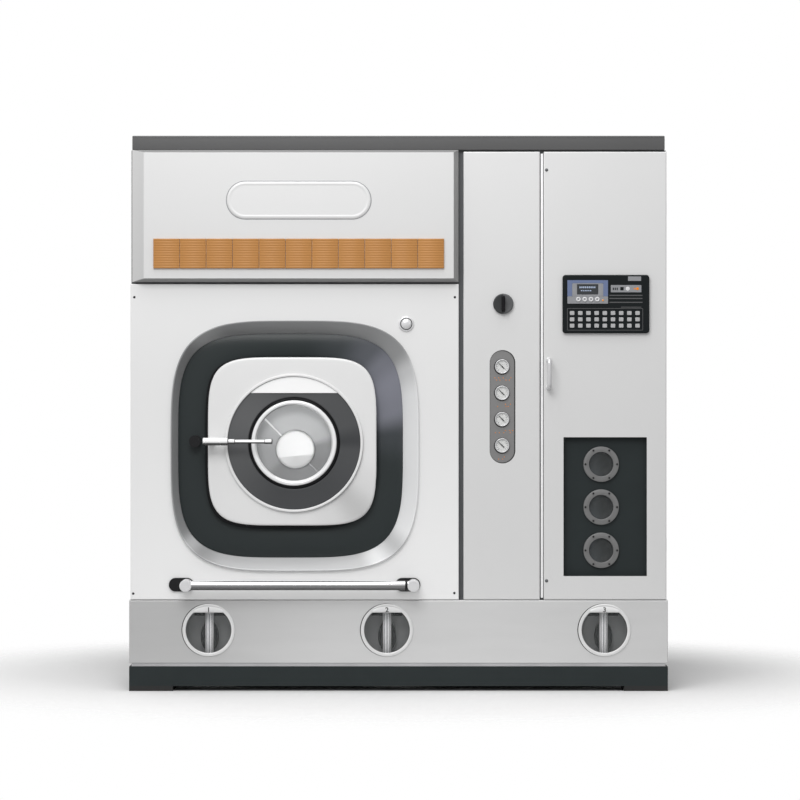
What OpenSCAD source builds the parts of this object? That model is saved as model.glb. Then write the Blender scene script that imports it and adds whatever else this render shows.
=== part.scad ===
/* [Cabinet] */
// Width of the machine across the tank panel
body_w = 1940; // [1880:10:2400]
// Height from the floor to the roof
body_h = 2000; // [1950:10:2400]
// Depth from the front panels to the rear sheets
body_d = 1150; // [1100:10:1400]
// Set-in of the upper cabinet on each side
upper_inset = 5; // [3:1:12]
// Width of the panel that carries the gauges
middle_w = 275; // [230:1:340]
// Width of the control door
control_door_w = 442; // [420:1:540]
// Gap between the loading panel and the middle panel
bay_gap = 17; // [10:1:24]
// Gap between the middle panel and the control door
door_gap = 14; // [10:1:24]
// Thickness of the sheet panels
sheet = 2; // [1.5:0.5:3]
// Depth of the folded rims of the fixed front panels
panel_rim = 24; // [22:0.2:32]
// Side of the square posts and rails
post = 40; // [34:1:50]
// Wall of the posts and rails
post_wall = 3; // [2:0.5:5]
// Height of the header cover
header_h = 476; // [400:1:600]
// How far the header cover stands out in front of the panels
header_reach = 36; // [20:1:60]
// Height of the roof tray
roof_h = 51; // [40:1:70]

/* [Base and tanks] */
// Thickness of the foot pads
pad_h = 18; // [12:1:30]
// Width of a foot pad
pad_w = 157; // [120:1:200]
// Depth of a foot pad
pad_d = 180; // [150:1:220]
// Radius of a floor anchor hole
anchor_r = 9; // [6:0.5:12]
// Height of the base beams
beam_h = 70; // [50:1:100]
// Width of the base beams
beam_w = 60; // [50:1:80]
// Wall of the base beams
beam_wall = 4; // [3:0.5:6]
// Height of the tank panel
tank_panel_h = 227; // [220:1:300]
// Outer radius of a tank window ring
window_ring_r = 94.5; // [90:0.5:100]
// Clear radius of a tank window
window_r = 82; // [70:1:84]
// Height of the flat top edge of a tank window above its centre
window_chord = 63; // [50:1:70]
// Radius of a level tube
level_tube_r = 15.5; // [10:0.5:18]
// Wall of the solvent tanks
tank_wall = 3; // [2:0.5:5]

/* [Loading door] */
// Height of the middle of the round door above the floor
door_cz = 893; // [860:1:940]
// Width of the outer bezel
bezel_w = 893; // [860:1:960]
// Height of the outer bezel
bezel_h = 902; // [860:1:960]
// Width of the dark surround
surround_w = 812; // [790:1:850]
// Height of the dark surround
surround_h = 809; // [790:1:850]
// Depth of the surround behind the front panels
surround_depth = 34; // [32:1:44]
// Width of the door plate
plate_w = 607; // [580:1:640]
// Height of the door plate
plate_h = 606; // [580:1:640]
// Sheet thickness of the door plate
plate_t = 3; // [2:0.5:4]
// Outer radius of the round door
ring_r = 249.5; // [240:0.5:262]
// Radius of the ring's body, where it passes through the surround
ring_body_r = 236; // [226:0.5:236]
// Radius of the glass
glass_r = 147.7; // [130:0.1:160]
// Thickness of the glass
glass_t = 10; // [6:1:14]
// Radius of the hinge pins
hinge_pin_r = 3; // [2.5:0.25:4]
// Running clearance on every pin and shaft
run_gap = 0.05; // [0.02:0.01:0.1]

/* [Drum and drive] */
// Outer radius of the drum
drum_r = 400; // [360:1:420]
// Depth of the drum
drum_depth = 460; // [380:1:500]
// Wall of the drum
drum_wall = 3; // [2:0.5:4]
// Radius of the hole in the drum's front lip
drum_mouth_r = 262; // [258:1:280]
// Height of the lifters
lifter_h = 60; // [40:1:66]
// Gap between the drum and the tub
drum_gap = 26; // [15:1:30]
// Wall of the tub
tub_wall = 4; // [3:0.5:6]
// Radius of the tub's mouth
mouth_r = 215; // [205:1:218]
// Radius of the drum shaft
shaft_r = 30; // [20:1:40]
// Running radius of the drum pulley
drum_pulley_r = 240; // [200:1:260]
// Running radius of the motor pulley
motor_pulley_r = 46; // [35:1:60]
// Thickness of the belt
belt_t = 8; // [5:1:10]
// Width of the belt
belt_w = 20; // [15:1:24]

/* [Front controls] */
// Radius of the rotary switch knob
knob_r = 36.5; // [28:0.5:42]
// Radius of a gauge
gauge_r = 26; // [20:0.5:30]
// Distance between gauges
gauge_pitch = 94.8; // [80:0.2:104]
// Number of gauges
gauge_count = 4; // [4:1:4]
// Radius of the release button
release_r = 19; // [14:0.5:20]
// Radius of a display button
display_button_r = 8.5; // [6:0.5:9.5]
// Distance between display buttons
display_button_pitch = 22.6; // [21:0.1:24]
// Width of the keypad case
keypad_w = 312; // [300:1:340]
// Height of the keypad case
keypad_h = 210; // [200:1:230]
// Distance between keys across the keypad
key_pitch = 29.4; // [24:0.2:31]
// Radius of the grab rail
rail_r = 16.5; // [12:0.5:20]
// How far the grab rail's posts stand out
rail_reach = 72; // [60:1:90]
// How far the service stubs stand out at the rear
stub_reach = 60; // [40:1:80]

/* [Hidden] */

$fn = 96;
over = 1;       // how far a cut runs past a face
seam = 0.2;     // joint between two members that are welded or bolted together
soft_gap = 0.3; // clearance under a piece that rests on a curved or soft one

// Depths are measured from the plane of the front panels, and negative ones stand out of it
front = -(rail_reach + body_d + stub_reach) / 2 + rail_reach;

// Widths: the bays from left to right
upper_x = body_w / 2 - upper_inset;
control_x0 = upper_x - control_door_w;
middle_x1 = control_x0 - door_gap;
middle_x0 = middle_x1 - middle_w;
loading_x1 = middle_x0 - bay_gap;
loading_x0 = -upper_x;
post_x = [
    loading_x0 + sheet,
    (loading_x1 + middle_x0 - post) / 2,
    (middle_x1 + control_x0 - post) / 2,
    upper_x - sheet - post
];

// Heights
base_top = pad_h + beam_h;
tank_z0 = base_top + 12;
tank_z1 = tank_z0 + tank_panel_h;
upper_z0 = tank_z1 + 2;
deck_z = tank_z1 + 1;
roof_z0 = body_h - roof_h;
panel_top = roof_z0 - 7;
header_z1 = roof_z0 - 1;
header_z0 = header_z1 - header_h;
loading_z1 = header_z0 - 6;

// Depths
inside_d = body_d - sheet;
frame_d1 = panel_rim + post;
rear_post_d = inside_d - post;
control_rim = panel_rim - 4;

// The floor anchors lie inside the base beams, where a bolt can be reached
anchor_x = body_w / 2 - (beam_w + pad_w) / 2;
anchor_d = [sheet + (beam_w + pad_d) / 2, inside_d - (beam_w + pad_d) / 2];

// Screws at the corners of the loading panel
screw_r = 2;
panel_screw_at = [
    [loading_x0 + 14, loading_z1 - 48], [loading_x1 - 14, loading_z1 - 48],
    [loading_x0 + 10, upper_z0 + 22], [loading_x1 - 16, upper_z0 + 24]
];

// Loading door group: all centres follow the middle of the loading bay
door_cx = (loading_x0 + loading_x1) / 2 - 2;
bezel_at = [door_cx + 3, door_cz - 10];
surround_at = [door_cx - 14, door_cz - 10];
plate_at = [door_cx - 7, door_cz + 6];
bezel_n = 3.8;
surround_n = 4;
plate_n = 4.8;
bezel_crest = -11;
surround_t = 4;
surround_hole_r = ring_body_r + 10;
plate_front = -2;
plate_skin_d = plate_front + plate_t;
plate_rim_d = 16;
ring_seat_r = ring_body_r + 4;
ring_back_d = surround_depth + 10;
ring_wall = 8;
glass_seat_r = glass_r + soft_gap;

// Loading door hinge
hinge_x = plate_at[0] + plate_w / 2 - 12;
hinge_d = 12;
hinge_offset = 120;
knuckle_r = hinge_pin_r + 3;
knuckle_h = 50;
ear_h = 10;
hinge_reach = knuckle_h / 2 + ear_h;
hinge_z = [for (s = [-1, 1]) plate_at[1] + s * hinge_offset];

// Door lever and its keeper
lever_x = plate_at[0] - plate_w / 2 + 14;
lever_z = plate_at[1];
lever_d = -48;
spindle_r = 8;
pawl_len = 62;
pawl_d = [plate_rim_d + 1.5, plate_rim_d + 7.5];
keeper_x = lever_x - 60;
keeper_r = 21.5;

// Tub and drum
drum_cx = door_cx - 18;
drum_cz = door_cz - 34;
seal_d = [ring_back_d + soft_gap, ring_back_d + 16];
flange_t = 3;
tub_d0 = seal_d[1] + 18;
tub_r = drum_r + drum_gap + tub_wall;
drum_d0 = tub_d0 + 22;
drum_d1 = drum_d0 + drum_depth;
tub_d1 = drum_d1 + 80;
housing_d1 = tub_d1 + 80;
pulley_d0 = housing_d1 + 15;
pulley_wide = belt_w + 10;
pulley_d1 = pulley_d0 + pulley_wide;
shaft_d1 = pulley_d1 + 5;
belt_d0 = pulley_d0 + 5;
belt_gap = 0.5;

// Motor, beside the tub on the deck, and further out where the tub would reach it
motor_r = 90;
motor_gap = 20;
motor_z = deck_z + 102;
motor_reach = tub_r + motor_r + motor_gap;
motor_side = max(334, sqrt(max(0, pow(motor_reach, 2) - pow(drum_cz - motor_z, 2))));
motor_at = [drum_cx + motor_side, motor_z];
motor_shaft_r = 14;
motor_d = [pulley_d0 - 235, pulley_d0 - 15];

// Cross beams of the base, under the tanks, and cross rails under what stands on the deck
cross_beam_d = [inside_d / 3 - beam_w / 2, inside_d * 2 / 3 - beam_w / 2];
tub_rails = [tub_d0 + 42, tub_d1 - 80];
middle_rails = [400, 700];
right_rails = [210, 640, 900];

// Control door and what is on it
control_hinge_x = upper_x - 8;
control_hinge_d = 8;
control_hinge_z = [upper_z0 + 200, panel_top - 200];
control_pin_r = 3;
window_x = [upper_x - 371, upper_x - 71];
window_z = [414, 914];
filter_x = upper_x - 234;
filter_neck_z = [505.8, 661.7, 816.5];
filter_r = 150;
filter_d = 230;
neck_r = 44;
window_plate_d = panel_rim - 2;
window_plate_t = 4;
window_ring_d = 12;
keypad_x0 = upper_x - 375;
keypad_z1 = panel_top - 444;
keypad_d = -14;
display_at = [keypad_x0 + 17, keypad_z1 - 103.5];
display_size = [146, 84];
display_d = keypad_d - 3;
button_z = display_at[1] + 15.5;
button_x0 = display_at[0] + 39.5;
button_d = [display_d - 3, display_d + 8];
button_travel = 1.5;

// Gauges and knob on the middle panel
gauge_x = middle_x0 + 139;
gauge_z0 = 884.2;
gauge_plate_w = 92.5;
gauge_plate_h = (gauge_count - 1) * gauge_pitch + 123.6;
gauge_plate_mid = (gauge_count - 1) * gauge_pitch / 2 + 2.6;
gauge_bore_r = 1;
knob_at = [middle_x0 + 143, gauge_z0 + 509.8];
knob_shaft_r = 5;

// Header
header_x = [loading_x0 + 6, loading_x1 - 1];
header_chamfer = [46, 18];
header_slope = 12;
header_face_cx = (header_x[0] + header_chamfer[0] + header_x[1] - header_chamfer[1]) / 2;
lens_count = 11;
lens_pitch = 94.8;
lens_z = [header_z0 + 48, header_z0 + 154];
badge_size = [517, 137];
badge_z = header_z0 + 298;

// Grab rail
rail_z = deck_z + 55.4;
rail_x = [door_cx - 385.4, door_cx + 429.6];
rail_d = -50;
rail_post_r = 21.5;
bracket_t = 8;

release_at = [door_cx + 404, door_cz + 429];

// Tank windows, over the middles of their tanks
tank_x = [[-body_w / 2 + 20, drum_cx + 19], [drum_cx + 29, middle_x1 - 19],
          [middle_x1 - 9, body_w / 2 - 20]];
tank_d = [frame_d1 + 6, inside_d - 60];
tank_top = deck_z - post - 4;
window_at = [loading_x0 + 281.4, door_cx + 334.6, upper_x - 223.4];
window_z_mid = tank_z0 + 119.6;

// Service connections through the rear sheets, behind their own bays: x, z, radius
service_x = control_x0 + 197;
stubs = [[door_cx - 324, 500, 17], [door_cx - 184, 500, 17], [door_cx - 44, 500, 21],
         [door_cx + 96, 500, 17], [service_x, 500, 8]];
exhaust_at = [door_cx - 4, 1600];
exhaust_r = 100;
gland_at = [service_x, 1500];
gland_bore_r = 9;
stub_flange = 14;
stub_inner = 40;

// ---------- Shapes ----------

// A superellipse outline, in the plane of the front
function squircle(w, h, n, steps = 64) = [
    for (i = [0:steps - 1])
        let (c = cos(360 * i / steps), s = sin(360 * i / steps))
            [w / 2 * sign(c) * pow(abs(c), 2 / n), h / 2 * sign(s) * pow(abs(s), 2 / n)]
];

// A box between two widths, two depths and two heights
module bar(x, d, z) {
    translate([x[0], front + d[0], z[0]])
        cube([x[1] - x[0], d[1] - d[0], z[1] - z[0]]);
}

// A square tube between the same limits, open at both ends of its longest side
module hollow_bar(x, d, z, t) {
    long = max(x[1] - x[0], d[1] - d[0], z[1] - z[0]);
    function bore(side) = side[1] - side[0] == long
        ? [side[0] - over, side[1] + over]
        : [side[0] + t, side[1] - t];
    difference() {
        bar(x, d, z);
        bar(bore(x), bore(d), bore(z));
    }
}

// A flat outline, given as width and height, between two depths
module face(d0, d1) {
    translate([0, front + d1, 0])
        rotate([90, 0, 0])
            linear_extrude(d1 - d0)
                children();
}

module rod_y(at, r, d0, d1) {
    translate([at[0], front + d0, at[1]])
        rotate([-90, 0, 0])
            cylinder(r = r, h = d1 - d0);
}

module rod_x(d, z, r, x0, x1) {
    translate([x0, front + d, z])
        rotate([0, 90, 0])
            cylinder(r = r, h = x1 - x0);
}

module rod_z(x, d, r, z0, z1) {
    translate([x, front + d, z0])
        cylinder(r = r, h = z1 - z0);
}

module tube_y(at, r_out, r_in, d0, d1) {
    difference() {
        rod_y(at, r_out, d0, d1);
        rod_y(at, r_in, d0 - over, d1 + over);
    }
}

// A turned solid about a front-to-back axis, from a profile of radius and depth
module turned_y(at) {
    translate([at[0], front, at[1]])
        rotate([-90, 0, 0])
            rotate_extrude()
                children();
}

// A sheet tray: a front skin with rims folded back
module tray(x, z, rim, t = sheet) {
    difference() {
        bar(x, [0, rim], z);
        bar([x[0] + t, x[1] - t], [t, rim + over], [z[0] + t, z[1] - t]);
    }
}

module pill(at, w, h) {
    r = min(w, h) / 2;
    long = max(w, h) / 2 - r;
    tall = h > w;
    for (side = [-1, 1])
        translate([at[0] + (tall ? 0 : side * long), at[1] + (tall ? side * long : 0)])
            circle(r);
    translate(at)
        square(tall ? [w, 2 * long] : [2 * long, h], center = true);
}

// A closed ring of sheet that follows outlines of [centre, width, height, power, depth]
module lofted_ring(loops, steps = 64) {
    points = [
        for (l = loops)
            for (p = squircle(l[1], l[2], l[3], steps))
                [l[0][0] + p[0], front + l[4], l[0][1] + p[1]]
    ];
    count = len(loops);
    faces = [
        for (j = [0:count - 1])
            for (i = [0:steps - 1])
                let (k = (j + 1) % count, n = (i + 1) % steps)
                    for (f = [[j * steps + i, j * steps + n, k * steps + n],
                              [j * steps + i, k * steps + n, k * steps + i]])
                        f
    ];
    polyhedron(points, faces);
}

// ---------- Base, frame and panels ----------

module base_frame() {
    half = body_w / 2;
    side = [for (s = [-1, 1]) s < 0 ? [-half, beam_w - half] : [half - beam_w, half]];
    color([0.2, 0.22, 0.22]) {
        for (d = [sheet, inside_d - beam_w])
            hollow_bar([-half, half], [d, d + beam_w], [pad_h, base_top], beam_wall);
        for (x = side)
            hollow_bar(x, [sheet + beam_w + seam, inside_d - beam_w - seam],
                       [pad_h, base_top], beam_wall);
        for (d = cross_beam_d)
            hollow_bar([side[0][1] + seam, side[1][0] - seam], [d, d + beam_w],
                       [pad_h, base_top], beam_wall);
    }
}

module foot_pads() {
    half = body_w / 2;
    color([0.1, 0.1, 0.1])
        for (sx = [-1, 1], back = [0, 1]) {
            x0 = sx < 0 ? -half : half - pad_w;
            d0 = back == 0 ? sheet : inside_d - pad_d;
            difference() {
                bar([x0, x0 + pad_w], [d0, d0 + pad_d], [0, pad_h]);
                rod_z(sx * anchor_x, anchor_d[back], anchor_r, -over, pad_h + over);
            }
        }
}

module cabinet_frame() {
    color([0.35, 0.36, 0.37]) {
        for (x = post_x, d = [panel_rim, rear_post_d])
            hollow_bar([x, x + post], [d, d + post], [base_top, roof_z0], post_wall);
        for (i = [0:2], level = [deck_z - post, roof_z0 - post], d = [panel_rim, rear_post_d])
            cross_rail(i, d, level);
        cross_rail(0, panel_rim, header_z0 - 3 - post / 2);
        for (x = post_x, level = [deck_z - post, roof_z0 - post])
            hollow_bar([x, x + post], [frame_d1 + seam, rear_post_d - seam],
                       [level, level + post], post_wall);
        for (d = tub_rails)
            cross_rail(0, d, deck_z - post);
        for (d = middle_rails)
            cross_rail(1, d, deck_z - post);
        for (d = right_rails)
            cross_rail(2, d, deck_z - post);
    }
}

// A rail across one bay, between its two posts
module cross_rail(bay, d, z) {
    hollow_bar([post_x[bay] + post + seam, post_x[bay + 1] - seam], [d, d + post],
               [z, z + post], post_wall);
}

module roof_panel() {
    x = [-upper_x + 6, upper_x - 6];
    d = [4, body_d - 4];
    lip = panel_rim + post / 2;
    color([0.42, 0.42, 0.42])
        difference() {
            bar(x, d, [roof_z0, body_h]);
            bar([x[0] + sheet, x[1] - sheet], [d[0] + sheet, d[1] - sheet],
                [roof_z0 + sheet, body_h - sheet]);
            bar([x[0] + lip, x[1] - lip], [d[0] + lip, d[1] - lip],
                [roof_z0 - over, roof_z0 + sheet + over]);
        }
}

module side_panels() {
    half = body_w / 2;
    color([0.78, 0.79, 0.8])
        for (s = [-1, 1]) {
            upper = s < 0 ? [-upper_x, sheet - upper_x] : [upper_x - sheet, upper_x];
            lower = s < 0 ? [-half, -upper_x + sheet] : [upper_x - sheet, half];
            hollow = s < 0 ? [sheet - half, over - upper_x + sheet]
                           : [upper_x - sheet - over, half - sheet];
            bar(upper, [panel_rim, inside_d], [upper_z0, roof_z0]);
            difference() {
                bar(lower, [panel_rim, inside_d], [tank_z0, tank_z1]);
                bar(hollow, [panel_rim - over, inside_d + over],
                    [tank_z0 + sheet, tank_z1 - sheet]);
            }
        }
}

module rear_panels() {
    edges = [-upper_x, (middle_x0 + loading_x1) / 2, upper_x];
    color([0.7, 0.71, 0.72])
        for (i = [0, 1])
            difference() {
                bar([edges[i] + seam / 2, edges[i + 1] - seam / 2], [inside_d, body_d],
                    [tank_z0, roof_z0]);
                for (s = stubs)
                    rod_y(s, s[2] + 1, inside_d - over, body_d + over);
                rod_y(exhaust_at, exhaust_r + 1, inside_d - over, body_d + over);
                rod_y(gland_at, gland_bore_r + 5, inside_d - over, body_d + over);
            }
}

module tank_front_panel() {
    color([0.75, 0.76, 0.76])
        difference() {
            tray([-body_w / 2, body_w / 2], [tank_z0, tank_z1], panel_rim);
            for (x = window_at)
                rod_y([x, window_z_mid], window_r + 4, -over, sheet + over);
        }
}

module loading_front_panel() {
    color([0.8, 0.81, 0.81])
        difference() {
            tray([loading_x0, loading_x1], [upper_z0, loading_z1], panel_rim);
            face(-over, sheet + over)
                translate(bezel_at)
                    polygon(squircle(bezel_w - 6, bezel_h - 6, bezel_n));
            rod_y(release_at, release_r + 3, -over, sheet + over);
            for (at = panel_screw_at)
                rod_y(at, screw_r + soft_gap, -over, sheet + over);
        }
}

module panel_screws() {
    color([0.5, 0.5, 0.5])
        for (at = panel_screw_at)
            turned_y(at)
                polygon([[0, -2.5], [2, -2.2], [3.5, -1], [3.5, 0], [screw_r, 0],
                         [screw_r, 12], [0, 12]]);
}

module middle_front_panel() {
    color([0.79, 0.8, 0.8])
        difference() {
            tray([middle_x0, middle_x1], [upper_z0, panel_top], panel_rim);
            face(-over, sheet + over)
                pill([gauge_x, gauge_z0 + gauge_plate_mid], gauge_plate_w, gauge_plate_h);
            rod_y(knob_at, knob_shaft_r + 3, -over, sheet + over);
        }
}

// One solid of the header: the outer one, or the hollow inside it
module header_block(inset) {
    x = [header_x[0] + inset, header_x[1] - inset];
    z = [header_z0 + inset, header_z1 - inset];
    out = inset - header_reach;
    back = inset > 0 ? panel_rim + over : panel_rim;
    intersection() {
        translate([0, front, z[0]])
            linear_extrude(z[1] - z[0])
                polygon([[x[0], back], [x[0], inset], [x[0] + header_chamfer[0], out],
                         [x[1] - header_chamfer[1], out], [x[1], inset], [x[1], back]]);
        translate([x[0], front, 0])
            rotate([90, 0, 90])
                linear_extrude(x[1] - x[0])
                    polygon([[back, z[0]], [inset, z[0]], [out, z[0] + header_slope],
                             [out, z[1] - header_slope], [inset, z[1]], [back, z[1]]]);
    }
}

module header_cover() {
    color([0.8, 0.81, 0.81]) {
        difference() {
            header_block(0);
            header_block(sheet);
        }
        face(-header_reach - 4, -header_reach + sheet / 2)
            pill([header_face_cx, badge_z], badge_size[0], badge_size[1]);
    }
}

module indicator_lenses() {
    x0 = header_face_cx - lens_count * lens_pitch / 2;
    color([0.78, 0.52, 0.28])
        for (i = [0:lens_count - 1])
            bar([x0 + i * lens_pitch + 0.5, x0 + (i + 1) * lens_pitch - 0.5],
                [-header_reach - 8, -header_reach], lens_z);
}

// ---------- Loading door surround ----------

module door_bezel() {
    inner = surround_w - 2;
    color([0.3, 0.31, 0.32])
        lofted_ring([
            [bezel_at, bezel_w, bezel_h, bezel_n, 0],
            [bezel_at, bezel_w, bezel_h, bezel_n, bezel_crest + 4],
            [bezel_at, bezel_w - 8, bezel_h - 8, bezel_n, bezel_crest],
            [bezel_at, bezel_w - 22, bezel_h - 22, bezel_n, bezel_crest],
            [surround_at, inner, surround_h - 2, surround_n, surround_depth - 3],
            [surround_at, inner, surround_h - 2, surround_n, surround_depth],
            [surround_at, inner + 6, surround_h + 4, surround_n, surround_depth],
            [bezel_at, bezel_w - 12, bezel_h - 12, bezel_n, sheet + 3],
            [bezel_at, bezel_w - 12, bezel_h - 12, bezel_n, 0]
        ]);
}

module door_surround() {
    color([0.24, 0.25, 0.26])
        difference() {
            face(surround_depth, surround_depth + surround_t)
                translate(surround_at)
                    polygon(squircle(surround_w + 8, surround_h + 8, surround_n));
            rod_y([door_cx, door_cz], surround_hole_r, surround_depth - over,
                  surround_depth + surround_t + over);
        }
}

// A round boss with a slot, open above and towards the door, for the pawl
module latch_keeper() {
    color([0.06, 0.06, 0.06])
        difference() {
            rod_y([keeper_x, lever_z], keeper_r, -6, surround_depth);
            bar([keeper_x - 6, keeper_x + keeper_r + over],
                [pawl_d[0] - 1.5, pawl_d[1] + 1.5],
                [lever_z - 11, lever_z + keeper_r + over]);
        }
}

module door_seal() {
    color([0.08, 0.08, 0.08])
        tube_y([door_cx, door_cz], ring_body_r + 2, mouth_r - 3, seal_d[0], seal_d[1]);
}

// ---------- Rail, gauges and windows ----------

module grab_rail() {
    color([0.85, 0.85, 0.86]) {
        for (x = rail_x)
            rod_y([x, rail_z], rail_post_r, -rail_reach, -bracket_t);
        rod_x(rail_d, rail_z, rail_r, rail_x[0], rail_x[1]);
    }
}

module rail_brackets() {
    color([0.05, 0.05, 0.05])
        for (x = rail_x)
            face(-bracket_t, 0)
                pill([x - 20, rail_z], 90, 49);
}

module gauge_plate() {
    color([0.52, 0.52, 0.52])
        difference() {
            face(sheet, 2 * sheet)
                pill([gauge_x, gauge_z0 + gauge_plate_mid], gauge_plate_w + 12,
                     gauge_plate_h + 12);
            for (i = [0:gauge_count - 1])
                rod_y([gauge_x, gauge_z0 + i * gauge_pitch], gauge_r - 2 + soft_gap,
                      -over, 2 * sheet + over);
        }
}

module gauge_cases() {
    dial_r = gauge_r - 4;
    stem_r = gauge_r - 2;
    bore = gauge_bore_r + run_gap;
    color([0.75, 0.75, 0.76])
        for (i = [0:gauge_count - 1])
            turned_y([gauge_x, gauge_z0 + i * gauge_pitch])
                polygon([[bore, 0], [dial_r, 0], [dial_r, -4], [dial_r + 1, -5],
                         [gauge_r - 1, -5], [gauge_r, -4], [gauge_r, sheet],
                         [stem_r, sheet], [stem_r, 45], [bore, 45]]);
}

// A pointer, its hub and its spindle; at rest it points up to the left
module gauge_pointer(i) {
    at = [gauge_x, gauge_z0 + i * gauge_pitch];
    color([0.1, 0.1, 0.1]) {
        rod_y(at, gauge_bore_r, -1.5, 18);
        rod_y(at, 2.6, -2.9, -0.7);
        translate([at[0], front - 2.2, at[1]])
            rotate([0, -45, 0])
                translate([-0.75, 0, -5])
                    cube([1.5, 1, gauge_r - 3]);
    }
}

module gauge_pointer_1() { gauge_pointer(0); }
module gauge_pointer_2() { gauge_pointer(1); }
module gauge_pointer_3() { gauge_pointer(2); }
module gauge_pointer_4() { gauge_pointer(3); }

// Window rings of the tanks: round outside, with a flat upper edge inside
module sight_rings() {
    color([0.72, 0.73, 0.73])
        for (x = window_at)
            difference() {
                rod_y([x, window_z_mid], window_ring_r, -4, 0);
                face(-4 - over, over)
                    intersection() {
                        translate([x, window_z_mid])
                            circle(window_r);
                        translate([x - window_r, window_z_mid - window_r])
                            square([2 * window_r, window_r + window_chord]);
                    }
            }
}

module sight_glasses() {
    color([0.5, 0.55, 0.55]) {
        for (x = window_at)
            rod_y([x, window_z_mid], window_r + 8, sheet, sheet + 5);
        for (z = filter_neck_z)
            rod_y([filter_x, z], neck_r - 0.1, window_plate_d - 4, window_plate_d);
        for (i = [0:gauge_count - 1])
            rod_y([gauge_x, gauge_z0 + i * gauge_pitch], gauge_r - 4.1, -4.4, -3.4);
    }
}

// A tank's level tube, on an oval backing that is fixed to the tank
module level_tubes() {
    tube_d = panel_rim + 6 + level_tube_r;
    color([0.8, 0.82, 0.8])
        for (x = window_at) {
            rod_z(x, tube_d, level_tube_r, window_z_mid - window_r - 12, tank_top - 4);
            face(tube_d, tank_d[0])
                translate([x, window_z_mid - 14])
                    polygon(squircle(62, 86, 2, 40));
        }
}

// The rotary switch behind its knob, and the guide of the release button
module switch_bodies() {
    color([0.12, 0.12, 0.12]) {
        difference() {
            bar([knob_at[0] - 30, knob_at[0] + 30], [sheet, 60],
                [knob_at[1] - 30, knob_at[1] + 30]);
            rod_y(knob_at, knob_shaft_r + run_gap, sheet - over, 50);
        }
        turned_y(release_at)
            polygon([[release_r + run_gap, -7], [release_r + 7, -7], [release_r + 8.5, -5],
                     [release_r + 8.5, 0], [release_r + 2.5, 0], [release_r + 2.5, 44],
                     [0, 44], [0, 40], [release_r + run_gap, 40]]);
    }
}

module switch_knob() {
    color([0.07, 0.07, 0.07]) {
        rod_y(knob_at, knob_r, -14, -1);
        rod_y(knob_at, knob_shaft_r, -1 - over, 45);
        bar([knob_at[0] - 8, knob_at[0] + 8], [-34, -13],
            [knob_at[1] - knob_r + 4, knob_at[1] + knob_r - 4]);
    }
}

module release_button() {
    dome = [for (a = [0:15:90]) [release_r * sin(a), -8 - 8 * cos(a)]];
    color([0.78, 0.78, 0.78])
        turned_y(release_at)
            polygon(concat(dome, [[release_r, 30], [0, 30]]));
}

// ---------- Tub, drum and drive ----------

module tub() {
    mouth = [door_cx, door_cz];
    drum_at = [drum_cx, drum_cz];
    color([0.6, 0.61, 0.62]) {
        difference() {
            union() {
                rod_y(drum_at, tub_r, tub_d0, tub_d1);
                for (d = tub_rails)
                    bar([drum_cx - 230, drum_cx + 230], [d + 4, d + post - 4],
                        [deck_z, drum_cz - tub_r + 140]);
                rod_y(mouth, mouth_r + tub_wall, seal_d[1], tub_d0 + over);
            }
            rod_y(drum_at, tub_r - tub_wall, tub_d0 + tub_wall, tub_d1 - tub_wall);
            rod_y(mouth, mouth_r, seal_d[1] - over, tub_d0 + tub_wall + over);
            rod_y(drum_at, shaft_r + 4, tub_d1 - tub_wall - over, tub_d1 + over);
        }
        tube_y(mouth, ring_body_r + 4, mouth_r, seal_d[1], seal_d[1] + flange_t);
    }
}

module bearing_housing() {
    color([0.4, 0.42, 0.44])
        turned_y([drum_cx, drum_cz])
            polygon([[shaft_r + run_gap, tub_d1], [110, tub_d1], [110, tub_d1 + 12],
                     [shaft_r + 32, tub_d1 + 12], [shaft_r + 32, housing_d1],
                     [shaft_r + run_gap, housing_d1]]);
}

module drum() {
    at = [drum_cx, drum_cz];
    inner = drum_r - drum_wall;
    color([0.72, 0.73, 0.74]) {
        turned_y(at)
            polygon([[drum_mouth_r, drum_d0], [drum_r, drum_d0], [drum_r, drum_d1],
                     [0, drum_d1], [0, drum_d1 - drum_wall],
                     [inner, drum_d1 - drum_wall], [inner, drum_d0 + drum_wall],
                     [drum_mouth_r, drum_d0 + drum_wall]]);
        for (turn = [90, 210, 330])
            translate([at[0], front + drum_d0, at[1]])
                rotate([0, turn, 0])
                    translate([-25, drum_wall / 2, inner - lifter_h])
                        cube([50, drum_depth - drum_wall, lifter_h + drum_wall / 2]);
        turned_y(at)
            polygon([[0, drum_d1 - 26], [66, drum_d1 - 26], [73, drum_d1 - 20],
                     [73, drum_d1 - 1], [0, drum_d1 - 1]]);
        for (turn = [-45, 135])
            translate([at[0], front + drum_d1 - 14, at[1]])
                rotate([0, turn, 0])
                    translate([-7, 0, 60])
                        cube([14, 13, inner - 100]);
    }
}

// The shaft runs from the drum's back wall through the housing to the pulley
module drum_pulley() {
    at = [drum_cx, drum_cz];
    r = drum_pulley_r;
    color([0.5, 0.5, 0.5]) {
        rod_y(at, shaft_r, drum_d1, shaft_d1);
        rod_y(at, shaft_r + 20, pulley_d0, pulley_d1);
        turned_y(at)
            polygon([[r - 14, pulley_d0], [r + 8, pulley_d0], [r + 8, pulley_d0 + 3],
                     [r, pulley_d0 + 4], [r, pulley_d1 - 4], [r + 8, pulley_d1 - 3],
                     [r + 8, pulley_d1], [r - 14, pulley_d1]]);
        for (turn = [0:72:288])
            translate([at[0], front + pulley_d0 + 8, at[1]])
                rotate([0, turn, 0])
                    translate([-14, 0, shaft_r + 10])
                        cube([28, pulley_wide - 16, r - shaft_r - 20]);
    }
}

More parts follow.
